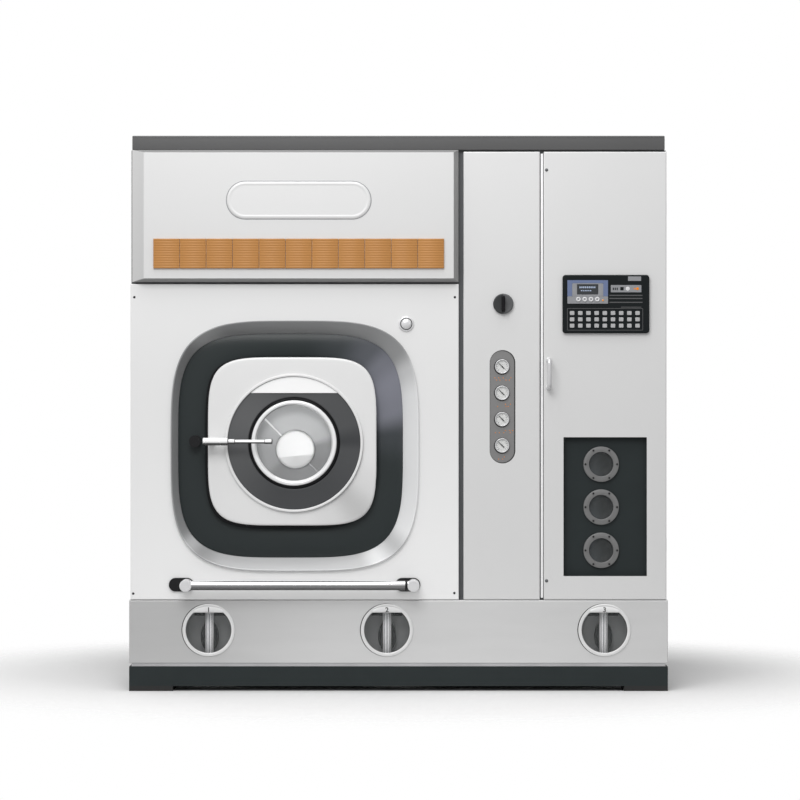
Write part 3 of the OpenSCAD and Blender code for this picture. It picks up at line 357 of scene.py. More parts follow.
down, corner, right = (0, 0, -1), (0.62, 0, -0.78), (1, 0, 0)
doorMiddle, bezelMiddle = (-0.376, 0, 0.893), (-0.385, 0, 0.883)  # what the tones run round
# stops of painted shade, highlight and reflection round each centre
bezelPaintedLight = [(-180, 0.33), (-142, 0.36), (-136, 0.72), (-130, 0.42), (-120, 0.57), (-60, 0.57),
              (-52, 0.95), (-44, 0.6), (-36, 1), (-14, 1), (22, 0.98), (33, 0.72), (41, 0.36),
              (58, 0.3), (118, 0.28), (130, 0.48), (138, 0.3), (180, 0.33)]
smokePaintedReflection = [(-180, 0), (-14, 0), (4, 0.12), (18, 0.9), (32, 1), (42, 0.75), (50, 0.35),
              (66, 0.08), (84, 0), (180, 0)]
platePaintedShade = [(-180, 1), (-84, 1), (-64, 0.8), (-46, 0.35), (-28, 0.8), (-8, 1), (180, 1)]
hubPaintedShade = [(-180, 0.9), (-168, 0.3), (-90, 0.1), (-4, 0.2), (12, 1), (180, 0.9)]
knobPaintedHighlight = [(-180, 0.2), (-96, 0.2), (-84, 1), (0, 0.8), (84, 1), (96, 0.2), (180, 0.2)]
ribPaintedShade = [(-180, 0.7), (-100, 0.3), (-45, 0), (20, 0.4), (90, 1), (180, 0.7)]
ringPaintedShade = [(-180, 0.75), (-100, 0.1), (-60, 0.1), (-8, 0.3), (2, 0), (20, 0.45), (100, 0.7),
             (150, 1), (180, 0.75)]
conePaintedSheen = [(-180, 0.36), (-150, 0.32), (-130, 0), (-60, 0.08), (-30, 0), (6, 0.1), (28, 0.8),
             (60, 0.95), (120, 1), (150, 0.6), (180, 0.38)]
looks = {}


def addLook(key, slot, *size, **more):  # a finish under its key, kept with the name of its slot, which the pieces do not take
    looks[key] = (finish(*size, **more), slot)


def addPaintedLightRound(key, slot, *size):  # the same for a finish with tones round a centre
    looks[key] = (paintedLightRound(*size), slot)


sheet = {"size": 3, "grain": 900, "bump": 0.05}
addLook("panel", "panel_silver", "satinSilverPaint", 0.68, 0.15, 0.44, 0.015, 0.04, **sheet)
# painted light: the panel is brighter towards the bottom
addLook("loading", "panel_silver", "loadingPanelPaint", 0.68, 0.15, 0.44, 0.015, 0.04, **sheet,
        along=((0, 0, 1), 1.28, 1.14, 0.4, 0.8))
# painted shade: darker on faces that turn away from the front, such as the chamfers
addLook("header", "panel_silver", "headerPaint", 0.655, 0.15, 0.44, 0.015, 0.04, **sheet,
        shade=((0, -1, 0), 0.42, 1, 0.28, 0.66))
# painted shade: darker towards the left end
addLook("tankSteel", "panel_silver", "brushedTankSteel", 0.6, 0.3, 0.4, 0.09, 0.08, 5,
        (0.35, 1, 2.2), 300, 0.05, along=((1, 0, 0), 0.84, 1.08, 0.3, -0.5))
# painted shade: darker on faces turned to the lower right
addLook("sightRing", "panel_silver", "sightRingPaint", 0.78, 0.1, 0.35, 0.02, 0.03,
        shade=(corner, 1, 0.75, 0.3, 0.1))
addLook("stop", "frame_paint", "doorStopStrip", (0.92, 0.92, 0.925), 0.1, 0.5, 0.04, 0.04)
addLook("sill", "panel_silver", "sillSteel", (0.52, 0.52, 0.53), 0.5, 0.4, 0.25, 0.08, 7,
        (1, 1, 0.2), 300, 0.05)
addLook("roof", "roof_paint", "roofPaint", (0.105, 0.105, 0.106), 0.1, 0.5, 0.05, 0.05, 4,
        gloss=0.3)
# painted reflection and shade: darker at the top and left, lighter at the bottom and right, with
# painted streaks at the corners
addPaintedLightRound("bezel", "bezel_grey", "bezelPaint", bezelMiddle, (0.79, 0.795, 0.8),
        (0.075, 0.077, 0.08), bezelPaintedLight, 0.2, 0.34, 0.35)
# painted reflection: a pale band on the surround towards the upper right
addPaintedLightRound("smoke", "surround_smoke", "smokedSurround", doorMiddle, (0.2, 0.205, 0.24),
        (0.026, 0.032, 0.033), smokePaintedReflection, 0, 0.3, 0.22)
# painted shade at the plate's lower right corner
addPaintedLightRound("door", "door_white", "doorWhitePaint", doorMiddle, 0.75, 0.4, platePaintedShade, 0.05, 0.35)
# painted shade: the ring is lighter at the top and left and darker below
addPaintedLightRound("ringDark", "ring_dark", "ringGreyPaint", doorMiddle, (0.115, 0.117, 0.12),
        (0.046, 0.048, 0.051), ringPaintedShade, 0, 0.36, 0.25)
addLook("ringWhite", "door_white", "ringWhitePaint", 0.93, 0, 0.3, 0.01, 0.03)
# painted shade: darker on faces turned to the lower right
addLook("rim", "door_white", "rimPaint", 0.74, 0, 0.3, 0.01, 0.03,
        shade=(corner, 1, 0.35, 0.3, 0.5))
# painted shade: darker on faces turned to the lower right
addLook("ringBright", "rail_chrome", "brightRing", (0.93, 0.93, 0.935), 0.25, 0.18, 0.01, 0.02,
        shade=(corner, 1, 0.35, 0.3, 0.6))
# black rubber, also used for dark pieces that stand in for painted shadow
addLook("blackAndShade", "seal_rubber", "blackRubberAndShade", (0.008, 0.008, 0.009), 0, 0.5, 0.1,
        gloss=0.12)
# painted reflection: the chrome is darker on faces turned down
addLook("rail", "rail_chrome", "railChrome", (0.9, 0.9, 0.91), 1, 0.16, 0.01, 0.02, 20,
        grain=400, bump=0.004, shade=(down, 1, 0.16, 0.5))
addLook("post", "rail_chrome", "postSteel", (0.78, 0.78, 0.79), 0.4, 0.3, 0.04, 0.04, 30)
# painted highlight on the right half of the knob
addPaintedLightRound("knob", "black_plastic", "knobPlastic", (0.377, 0, 1.394), (0.12, 0.123, 0.126),
        (0.022, 0.024, 0.025), knobPaintedHighlight, 0, 0.4, 0.2)
# painted shade: darker on the lever's underside
addLook("lever", "rail_chrome", "leverSteel", 0.93, 0.2, 0.25, 0.02, 0.04, 20, grain=400,
        shade=(down, 1, 0.06, 0.2, 0.3))
addLook("screwDark", "screw_steel", "darkScrew", (0.03, 0.03, 0.032), 0.3, 0.4, 0.05, size=60,
        gloss=0.2)
# painted light: the bowl's left wall, which faces right, is lighter
addLook("bowl", "window_plate_dark", "windowBowl", (0.016, 0.018, 0.02), 0, 0.5, 0.1, size=20,
        gloss=0.12, shade=(right, 0.3, 2.6, 0.3, 0.1))
addLook("tubeLine", "tube_plastic", "tubeScale", (0.13, 0.135, 0.16), 0, 0.5, 0.2, 0.05, 60)
addLook("drum", "drum_steel", "brushedDrumSteel", (0.42, 0.43, 0.435), 0.6, 0.4, 0.05, size=5,
        grain=400, bump=0.03, holes=0.022)
# painted sheen: the drum back is lighter from the right round over the top and darker below
addPaintedLightRound("cone", "drum_steel", "spunDrumBack", (-0.394, 0, 0.859), (0.45, 0.455, 0.46),
        (0.14, 0.142, 0.145), conePaintedSheen, 0.1, 0.45)
# painted shade on the lower part of the hub
addPaintedLightRound("hub", "drum_steel", "hubEnamel", (-0.394, 0, 0.835), 0.94, 0.5, hubPaintedShade, 0, 0.35)
# painted shade: the ribs are darker towards the lower right
addPaintedLightRound("rib", "drum_steel", "ribSteel", (-0.394, 0, 0.859), (0.82, 0.82, 0.83),
        (0.26, 0.26, 0.265), ribPaintedShade, 0.1, 0.35)
addLook("glass", "door_glass", "doorGlass", (0.3, 0.31, 0.31), 0, 0.04, 0.02, 0.01, alpha=0.06,
        gloss=0.3)
addLook("clear", "sight_glass", "sightGlass", (0.3, 0.32, 0.32), 0, 0.06, 0.02, 0.01,
        alpha=0.07, gloss=0.3)
addLook("amber", "amber_lens", "amberLens", (0.45, 0.21, 0.062), 0, 0.42, 0.05, 0.05, 9,
        gloss=0.3)
# black plastic, also used for dark pieces that stand in for painted shadow
addLook("black", "black_plastic", "blackPlasticAndShade", (0.012, 0.012, 0.013), 0, 0.42, 0.1, gloss=0.2)
addLook("base", "base_paint", "basePaint", (0.02, 0.026, 0.027), 0, 0.5, 0.12, 0.08, 9,
        gloss=0.2)
addLook("rubber", "foot_rubber", "footRubber", 0.012, 0, 0.7, 0.15, 0.1)
addLook("seal", "seal_rubber", "sealRubber", (0.02, 0.02, 0.021), 0, 0.6, 0.15, 0.1)
addLook("frame", "frame_paint", "framePaint", (0.1, 0.105, 0.11), 0.1, 0.5, 0.08, 0.08, 5)
addLook("screw", "screw_steel", "screwSteel", (0.52, 0.52, 0.53), 0.9, 0.3, 0.05, size=60)
addLook("gaugePlate", "plate_grey", "gaugePlatePaint", (0.22, 0.218, 0.218), 0.1, 0.45, 0.03,
        0.04, gloss=0.3)
addLook("dial", "key_white", "dialWhite", (0.8, 0.8, 0.79), 0, 0.5, 0.02, 0.04)
# black print and pointers, also used for a painted shadow line
addLook("mark", "pointer_black", "printedBlackAndShade", 0.02, 0, 0.6, 0.1, 0.05)
addLook("orange", "amber_lens", "printedOrange", (0.85, 0.24, 0), 0, 0.6, 0.05, 0.05, gloss=0.1)
addLook("glow", "amber_lens", "orangeLamp", (0.8, 0.28, 0.03), 0, 0.3, 0.02, 0.02, glow=0.2)
addLook("case", "keypad_dark", "keypadPlastic", (0.009, 0.0115, 0.0125), 0, 0.4, 0.08, size=20,
        gloss=0.12)
addLook("display", "keypad_dark", "displayBlue", (0.145, 0.185, 0.31), 0.1, 0.4, 0.04, 0.04, 30,
        gloss=0.2)
addLook("silver", "plate_grey", "silverStrip", (0.27, 0.275, 0.29), 0.1, 0.4, 0.1, size=60,
        gloss=0.3)
addLook("lcd", "keypad_dark", "lcdDark", (0.022, 0.026, 0.03), 0, 0.18, 0.1, 0.04, 30, coat=0.5)
addLook("digits", "keypad_dark", "lcdSegments", (0.42, 0.5, 0.66), 0, 0.4, 0.05, 0.05)
addLook("lines", "keypad_dark", "printedGrey", (0.075, 0.076, 0.078), 0, 0.5, 0.1, 0.05)
addLook("key", "key_white", "keyPlastic", (0.41, 0.41, 0.415), 0, 0.42, 0.03, 0.05, 40)
addLook("button", "button_white", "buttonPlastic", (0.66, 0.66, 0.67), 0, 0.35, 0.02, 0.04, 40)
addLook("fitting", "screw_steel", "handleSteel", (0.66, 0.66, 0.67), 0.5, 0.34, 0.03, 0.05, 30)
addLook("windowPlate", "window_plate_dark", "windowPlatePaint", (0.023, 0.029, 0.03), 0, 0.5,
        0.1, size=9, gloss=0.15)
addLook("windowRing", "window_ring", "castWindowRing", 0.19, 0.2, 0.42, 0.08, size=20,
        grain=300, bump=0.1, gloss=0.3)
addLook("tank", "tub_steel", "tankPlate", (0.27, 0.272, 0.275), 0.1, 0.5, 0.16, 0.06, 12,
        (3, 1, 0.3), gloss=0.3)
addLook("tube", "tube_plastic", "levelTube", (0.95, 0.95, 0.96), 0, 0.3, 0.02, 0.04, 12)
addLook("tub", "tub_steel", "tubSteel", (0.42, 0.43, 0.44), 0.7, 0.4, size=5)
addLook("iron", "housing_iron", "housingIron", (0.16, 0.17, 0.18), 0.5, 0.5, 0.1, 0.08, 9,
        grain=180, bump=0.2)
addLook("pulley", "pulley_iron", "pulleyIron", (0.24, 0.24, 0.245), 0.8, 0.42, 0.08, 0.08, 9,
        grain=220, bump=0.15)
addLook("belt", "belt_rubber", "beltRubber", 0.018, 0, 0.7, 0.15, 0.1, 30)
addLook("compressor", "compressor_black", "compressorPaint", (0.014, 0.015, 0.016), 0, 0.35,
        0.1, size=9)
addLook("motor", "housing_iron", "motorPaint", (0.06, 0.1, 0.14), 0.1, 0.42, 0.08, size=9,
        bump=0.08)
addLook("duct", "tub_steel", "ductSheet", (0.46, 0.47, 0.48), 0.75, 0.42, 0.12, 0.08, 14)
addLook("stub", "stub_steel", "stubBrass", (0.42, 0.41, 0.38), 0.85, 0.36, size=20)
addLook("hinge", "screw_steel", "hingeZinc", (0.44, 0.44, 0.45), 0.85, 0.38, size=20)
print("finishes ready:", len(looks))

# Camera, floor and lights

photo = {"eye": (0.0054, -9.569, 1.048), "lens": 112.5, "sensor": 36}
scene = bpy.context.scene
camera = bpy.data.objects.new("camera", bpy.data.cameras.new("camera"))
scene.collection.objects.link(camera)
camera.location = photo["eye"]
camera.rotation_euler = (math.pi / 2, 0, 0)
camera.data.lens = photo["lens"]
camera.data.sensor_width = photo["sensor"]
scene.camera = camera
scene.view_settings.view_transform = "Standard"

studio = {
    "skySeen": 1, "skyLow": 0.3, "skyHigh": 0.74, "skyWay": (-0.55, -0.1, 0.83),
    "lights": [  # name, place, aim, width and height, power
        ("keyLight", (-0.8, -3.9, 3.9), (0, -0.5, 1), (2.6, 1.8), 98),
        ("fillLight", (3.8, -5.4, 2), (0, -0.4, 1), (2, 3), 14),
        ("topLight", (0, -1.4, 5.2), (0, -0.6, 0), (3.6, 3), 80),
        ("drumLight", (-0.39, -0.47, 0.87), (-0.39, 0.2, 0.86), (0.34, 0.34), 1.9),
    ],
    "fade": (1.15, 2.2),  # metres from the middle over which the floor gives way to white
    "fadeDepth": 1.3,  # how much sooner it does so towards the front and the back
}


def addLight(name, at, aim, size, power):  # a rectangle of light that faces its aim
    lamp = bpy.data.lights.new(name, "AREA")
    lamp.shape, lamp.size, lamp.size_y, lamp.energy = "RECTANGLE", size[0], size[1], power
    made = bpy.data.objects.new(name, lamp)
    scene.collection.objects.link(made)
    made.location = at
    made.rotation_euler = (Vector(aim) - Vector(at)).to_track_quat("-Z", "Y").to_euler()


def addSky(size):
    # a pale sky that is brighter towards the upper left; seen directly it is plain white
    world = bpy.data.worlds.new("studioWorld")
    scene.world = world
    world.use_nodes = True
    tree = world.node_tree
    pale = facing(tree, addNode(tree, "TexCoord").outputs["Generated"], size["skyWay"],
                  size["skyLow"], size["skyHigh"], 0.95, 0.05)
    seen = addNode(tree, "LightPath").outputs["Is Camera Ray"]
    mix = addNode(tree, "Mix", {"Factor": seen, "A": pale, "B": size["skySeen"]})
    setInputs(tree, tree.nodes["Background"],
              {"Strength": mix.outputs["Result"], "Color": (1, 1, 1, 1)})


addSky(studio)
for spec in studio["lights"]:
    addLight(*spec)

floorMesh = bpy.data.meshes.new("floor")
floorMesh.from_pydata([(-30, -14, 0), (30, -14, 0), (30, 30, 0), (-30, 30, 0)], [], [(0, 1, 2, 3)])
floor = bpy.data.objects.new("floor", floorMesh)
scene.collection.objects.link(floor)
floorMesh.materials.append(finish("studioFloor", 0.76, 0, 0.8, 0.004, 0.02, gloss=0.1))


def fadeOut(material, near, far, deeper):
    # opaque within the near distance of the middle, clear past the far one, where
    # distances to the front and back count for more
    tree = material.node_tree
    place = addNode(tree, "TexCoord").outputs["Object"]
    squeeze = addNode(tree, "Mapping", {"Vector": place, "Scale": (1, deeper, 1)})
    reach = addNode(tree, "VectorMath", {0: squeeze.outputs["Vector"]}, operation="LENGTH")
    clear = spread(tree, reach.outputs["Value"], 1, 0, near, far, "SMOOTHSTEP")
    setInputs(tree, tree.nodes["Principled BSDF"], {"Alpha": clear})


fadeOut(floorMesh.materials[0], *studio["fade"], studio["fadeDepth"])
print("studio ready")

# Front panels

cabinet = {"loading": (-965, 217), "middle": (234, 509), "door": (523, 965),
           "tank": (-970, 970), "low": (329, 1466), "full": (329, 1942),
           "tankZ": (100, 327)}
sheetSize = {"thick": 2, "rim": 24, "edge": 4}
bezelSize = {"at": (-373, 883), "w": 893, "h": 902, "power": 3.8}
release = {"at": (28, 1322), "radius": 19}
piece("loadingPanel", foldedSheet(
    boxOutline(cabinet["loading"], cabinet["low"]),
    [squircle(bezelSize["at"], bezelSize["w"] - 6, bezelSize["h"] - 6, bezelSize["power"]),
     circle(release["at"], release["radius"] + 3, 64)], sheetSize),
    "loading", stands=["loading_front_panel"])
gauges = {"x": 373, "first": 884.2, "pitch": 94.8, "count": 4, "cut": (92.5, 408)}
gaugeMid = (gauges["x"] + 1.5, gauges["first"] + 1.5 * gauges["pitch"] - 2.8)
knob = {"at": (377, 1394), "radius": 36.5}
piece("middlePanel", foldedSheet(
    boxOutline(cabinet["middle"], cabinet["full"]),
    [pill(gaugeMid, *gauges["cut"]), circle(knob["at"], 8, 32)], sheetSize),
    "panel", stands=["middle_front_panel"])
window = {"x": (594, 894), "z": (414, 914)}
controlHinge = {"z": np.array([529, 1742]), "half": 24.5, "from": 949}


def controlOutline(inset):  # the door's outline, with points on its right side at each hinge
    o = boxOutline(cabinet["door"], cabinet["full"])(inset)
    half = controlHinge["half"]
    z = (controlHinge["z"][:, None] + [-half - 0.5, -half, half, half + 0.5]).ravel()
    return np.vstack([o, np.stack([np.full(len(z), cabinet["door"][1] - inset), z], -1)])


def hingeRelief(o):  # true beside a hinge, from the middle of its pin outwards
    off = np.abs(o[:, 1, None] - controlHinge["z"]).min(axis=1)
    return (o[:, 0] > controlHinge["from"]) & (off < controlHinge["half"] + 0.1)


piece("controlPanel", foldedSheet(
    controlOutline, [roundedBox(window["x"], window["z"], 2, 4)],
    dict(sheetSize, rim=20, relief=hingeRelief)), "panel", "control_door", ["control_door"])
tanks = {"windows": (-683.6, -41.4, 741.6), "z": 219.6, "hole": 86, "ring": 94.5,
         "open": 82, "rise": 63}
piece("tankPanel", foldedSheet(
    boxOutline(cabinet["tank"], cabinet["tankZ"]),
    [circle((x, tanks["z"]), tanks["hole"]) for x in tanks["windows"]], sheetSize),
    "tankSteel", stands=["tank_front_panel"])
stop = {"x": (512.5, 521), "depth": (8, 27), "z": (335, 1936)}
piece("doorStop", plainBox(stop["x"], stop["depth"], stop["z"]), "stop")
panelScrew = {"at": [(-951, 1418), (203, 1418), (-955, 351), (201, 353)], "radius": 4.5,
              "high": 2.5, "shank": [(0, 0), (2, 0), (2, 12), (0, 12)]}
piece("panelScrews", joined(
    *[screwHead(at, panelScrew["radius"], panelScrew["high"]) for at in panelScrew["at"]],
    *[turned(at, panelScrew["shank"], 24) for at in panelScrew["at"]]),
    "screwDark", stands=["panel_screws"])
print("front panels made")

# Header: a box cover with a wide left chamfer, a narrow right one and a raised bare badge

header = {
    "x": (-959, 216), "z": (1472, 1948), "reach": 36, "chamfer": (46, 18),
    "slope": 12, "rim": 24, "thick": 2, "badge": (517, 134), "badgeAt": (-357.7, 1764.5),
    "faces": [(0, 1), (0.02, -1.2), (0.1, -3.6), (0.9, -32.4), (0.97, -34.9), (1, -35.7),
              (1.03, -36), (1.05, -36)],
}


def headerRing(share, depth, inward=0):
    # the cover's outline, drawn in by a share of each side's chamfer
    x, z, slope = header["x"], header["z"], share * header["slope"] + inward
    left, right = (share * side + inward for side in header["chamfer"])
    return laid(roundedBox((x[0] + left, x[1] - right), (z[0] + slope, z[1] - slope), 1, 5), depth)


t, rim = header["thick"], header["rim"]
within = [headerRing(1, t - header["reach"], t), headerRing(0, t, t), headerRing(0, rim, t)]
piece("headerCover", skin(within + [headerRing(0, rim)]
                          + [headerRing(*step) for step in header["faces"]]),
      "header", stands=["header_cover"], smooth=20)


def badgeOutline(inset):  # a pill, narrower and lower by twice the inset
    wide, high = header["badge"]
    return pill(header["badgeAt"], wide - 2 * inset, high - 2 * inset, 24)


piece("headerBadge", slab(badgeOutline, [(0, -35), (0, -36.5), (1.4, -37.6), (4.5, -38.5),
                                         (8, -38.8), (10, -38.8), (12.5, -38.2), (14.5, -38),
                                         (16, -38)]), "panel", smooth=60)
piece("badgeLine", bridged(badgeOutline(-2.4), badgeOutline(0.4),
                           [(0, -35), (0, -36.4), (0.2, -36.8), (0.8, -36.8), (1, -36.4), (1, -35)]),
      "silver", smooth=60)

lens = {"count": 11, "pitch": 94.8, "gap": 0.7, "z": (1520, 1626), "back": -36,
        "crest": -44, "groove": 0.9, "ribs": 12, "cut": 0.8}
# each lens is its height profile, ribbed by a folded sine, carried across its width
share = np.linspace(0, 1, lens["ribs"] * 8 + 1)
ribs = lens["crest"] + lens["groove"] * (1 - np.abs(np.sin(np.pi * lens["ribs"] * share)))
z = lens["z"][0] + share * (lens["z"][1] - lens["z"][0])
z = np.concatenate([z[:1], z, z[-1:]])
depth = np.concatenate([[lens["back"]], ribs, [lens["back"]]])
sunk = np.array([lens["cut"], 0, 0, lens["cut"]])[:, None]
strip = []
for i in range(lens["count"]):
    x0 = header["badgeAt"][0] + (i - lens["count"] / 2) * lens["pitch"] + lens["gap"]
    x1 = x0 + lens["pitch"] - 2 * lens["gap"]
    xs = np.array([x0, x0 + lens["cut"], x1 - lens["cut"], x1])[:, None]
    strip.append(skin(spot(xs, np.minimum(depth + sunk, lens["back"]), z)))
piece("lensStrip", strip, "amber", stands=["indicator_lenses"], smooth=60)

roof = {"x": (-959, 959), "depth": (4, 1146), "sink": 1.5,
        "profile": [(2.5, 1949), (1.5, 1949), (0.4, 1949.6), (0, 1951), (0, 1989),
                    (0, 1990.5), (0.9, 1991.2), (0.9, 1992.2), (0, 1993), (0, 1996.5),
                    (0.6, 1998.6), (2, 1999.7), (4, 2000), (30, 2000), (32, 1999.4),
                    (34, 1998.8), (36, 1998.8)]}


def roofRing(inset, z):  # the roof's outline seen from above
    x, d = roof["x"], roof["depth"]
    o = roundedBox([x[0] + inset, x[1] - inset], [d[0] + inset, d[1] - inset], 3, 5)
    return spot(o[:, 0], o[:, 1], z)


piece("roofTray", skin([roofRing(i, z) for i, z in roof["profile"]]), "roof",
      stands=["roof_panel"], smooth=40)
sill = {"x": (-962, 962), "z": (88.2, 101), "depth": (5, 12)}
piece("tankSill", softSlab(lambda i: roundedBox([sill["x"][0] + i, sill["x"][1] - i],
                                                [sill["z"][0] + i, sill["z"][1] - i], 1, 3),
                           sill["depth"][1], sill["depth"][0], 1), "sill")
print("header and roof made")

# Loading door: bezel, smoked surround, plate, ring, window

surround = {"at": (-390, 883), "w": 812, "h": 809, "power": 4, "depth": 34,
            "crown": 9, "hole": 246, "back": 38}
door = {"centre": (-376, 893), "plateAt": (-383, 899), "w": 607, "h": 606,
        "power": 4.8, "seat": 240, "ring": 249.5, "body": 236, "glass": 147.7,
        "hinge": (-100, 120, 39)}  # from which x, how far up and down, half its height


def bezelRing(share, inset, depth):
    # an outline a share of the way from the bezel's edge to the surround's
    at = tuple((1 - share) * p + share * q for p, q in zip(bezelSize["at"], surround["at"]))
    w, h, n = ((1 - share) * bezelSize[k] + share * surround[k] for k in ("w", "h", "power"))
    return laid(squircle(at, w - 2 * inset, h - 2 * inset, n), depth)


bezelSteps = [(0, 0, 0), (0, 0, -8.6), (0, 0.3, -9.8), (0, 1, -10.7), (0, 2.2, -11),
              (0, 3.4, -10.8), (0, 4.4, -10.2)]
bezelSteps += [(s, 4.4 * (1 - s), -10.2 + 43.2 * s) for s in (0.06, 0.15, 0.4, 0.65, 0.9, 0.97)]
bezelSteps += [(1, 0, 33.4), (1, -2.5, 33.8), (1, -2.5, 33.9), (0, 7.5, 5), (0, 7.5, 0)]
piece("doorBezel", skin([bezelRing(*s) for s in bezelSteps], closed=True), "bezel",
      stands=["door_bezel"], smooth=50)


def surroundRing(share, depth):  # from the round hole out to the squared edge
    hole = circle(door["centre"], surround["hole"], 240)
    edge = squircle(surround["at"], surround["w"] - 1, surround["h"] - 1, surround["power"])
    return laid(hole + (edge - hole) * share, depth)


deep, back = surround["depth"], surround["back"]
swell = [(share, deep - surround["crown"] * math.sin(math.pi * (1 - share) / 0.66) ** 0.8)
         for share in np.linspace(1, 0.36, 17)]
swell += [(0.3, deep), (0, deep), (0, back), (1, back)]
piece("smokedSurround", skin([surroundRing(*p) for p in swell], closed=True), "smoke",
      stands=["door_surround"], smooth=60)


def plateRing(inset, depth):
    # the plate's squared outline, slightly rounder further in; beside the hinges the rim
    # is cut back to a thin edge so that it clears their brackets
    o = squircle(door["plateAt"], door["w"] - 2 * inset, door["h"] - 2 * inset,
                 door["power"] - 0.012 * inset)
    start, rise, half = door["hinge"]
    off = np.abs(np.abs(o[:, 1] - door["plateAt"][1]) - rise)
    cut = (o[:, 0] > start) & (off < half)
    return laid(o, np.where(cut, min(depth, 1 + 0.35 * inset), depth))


def seatRing(depth):  # the round seat of the ring in the plate
    return laid(circle(door["centre"], door["seat"], 240), depth)


rolled = [(0, 16), (0, 5.6), (0.3, 3.6), (1.2, 1.6), (3, 0.1), (5.5, -0.7), (9, -1),
          (16, -1.2), (26, -1.5), (38, -1.8), (54, -2)]
backed = [(54, 1), (32, 2.1), (14, 4), (4, 7.5), (3, 11), (3, 16)]
piece("doorPlate", skin([plateRing(*p) for p in rolled] + [seatRing(-2), seatRing(1)]
                        + [plateRing(*p) for p in backed], closed=True),
      "door", "loading_door", ["door_plate"], smooth=40)

ringEdge, ringBody = (door["ring"], 0), (door["body"], 0)
seatEdge, glassEdge = (door["seat"], 0), (door["glass"] + 0.3, 0)
piece("doorRing", turned(door["centre"], [
    *offset(glassEdge, (0, 0), (10, 0), (10, 3), (15.4, 3), (16.8, 2.2), (17.5, 0.6),
            (18.4, -0.5), (20.5, -1.2), (24, -1.6)),
    *offset(ringEdge, (-12.6, -4.9), (-11.2, -5.1), (-10.4, -4.8), (-10.4, 0)),
    *offset(ringBody, (0, 6), (0, 44), (-8, 44), (-8, 8)),
    *offset(glassEdge, (6, 8), (6, 14), (-5, 14), (-5, 10), (0, 10))], 192),
    "ringDark", "loading_door", ["door_ring"], smooth=30)
piece("doorRim", turned(door["centre"], offset(
    ringEdge, (-10.3, 0), (-10.3, -8.8), (-9.6, -10.2), (-8.2, -10.9), (-5.5, -11), (-3, -10.9),
    (-1.2, -10.2), (0, -8.4), (0, -3), (-0.8, -2)) + offset(seatEdge, (0.2, -2), (0.2, 0)), 192),
    "rim", "loading_door", smooth=40)
piece("blackRubberAndShade", turned(door["centre"], offset(
    glassEdge, (6.4, 2.8), (6.4, -3.4), (7.6, -4.6), (10, -4.8), (13, -3.2), (15.2, -0.6),
    (16.4, 1.4), (16.4, 2.8)), 160), "blackAndShade", "loading_door", smooth=50)
# a black rubber bead behind the plate, set off so that it shows only to the left and below, as a
# painted shadow
bufferShadow = {"at": (-397.5, 895.5), "w": 595, "h": 616, "wide": 12}


def bufferShadowOutline(inset):  # it shows to the left and below, and stays clear of the hinges
    return squircle(bufferShadow["at"], bufferShadow["w"] - 2 * inset, bufferShadow["h"] - 2 * inset, door["power"])


piece("plateBufferShadow", bridged(bufferShadowOutline(0), bufferShadowOutline(bufferShadow["wide"]), [
    (0, 16.5), (0, 11), (0.08, 9), (0.24, 8), (0.8, 8), (1, 10), (1, 16.5)]),
    "blackAndShade", "loading_door", smooth=50)
crescent = {"rise": 180, "radius": 239, "depth": (-3, -7)}


def crescentOutline(inset):  # an arc of the rim, closed by a level chord
    radius = crescent["radius"] - inset
    low = math.asin((crescent["rise"] + inset) / radius)
    a = np.linspace(low, math.pi - low, 97)
    return np.asarray(door["centre"]) + radius * np.stack([np.cos(a), np.sin(a)], -1)


piece("doorCrescent", softSlab(crescentOutline, *crescent["depth"], 1.2), "ringWhite",
      "loading_door")
inner, outer = (door["glass"] - 12, 0), (door["glass"] + 6.3, 0)
piece("portholeRing", turned(door["centre"], [
    *offset(inner, (0, 0), (0, -1.6), (0.6, -2.6), (2, -3.2), (2.4, -4.4), (3, -6.6),
            (4.6, -8.6), (6.8, -9.7), (9, -10)),
    *offset(outer, (-6.6, -10), (-4.2, -9.5), (-2, -8), (-0.6, -5.8), (0, -3.4), (0, 0))], 192),
    "ringBright", "loading_door", ["porthole_ring"], smooth=50)
swelling = [(147.6 * s, 0.2 - 2.4 * (1 - s * s)) for s in (0, 0.2, 0.4, 0.6, 0.8, 0.9, 1)]
piece("doorGlass", turned(door["centre"], swelling + [(147.6, 9.8), (0, 9.8)], 128),
      "glass", "loading_door", ["door_glass"])
print("loading door made")

# Drum: a rolled front lip, three lifters, a hub and two ribs on the back

drum = {"at": (-394, 859), "radius": 400, "wall": 3, "mouth": 262, "front": 100,
        "back": 560, "hub": 73, "lift": 60, "lifters": (90, 210, 330),
        "ribs": (135, -45), "ribLong": (66, 340), "ribHalf": 3.5}
wide, front, end = drum["radius"], drum["front"], drum["back"]
back = end - drum["wall"]
piece("drumShell", turned(drum["at"], [
    *offset((drum["mouth"], front), (3, 6.5), (0, 4), (0, 2), (3, 0)),
    *offset((wide, front), (-9, 0), (-3, 2), (0, 9)),
    *offset((wide, end), (0, -9), (-3, -2), (-9, 0)), (0, end), (0, back),
    *offset((wide, end), (-14, -3), (-6, -7), (-3, -14)),
    *offset((wide, front), (-3, 14), (-6, 7), (-14, 3)), (drum["mouth"] + 6, front + 3)], 180),
    "drum", "drum", ["drum"], smooth=40)
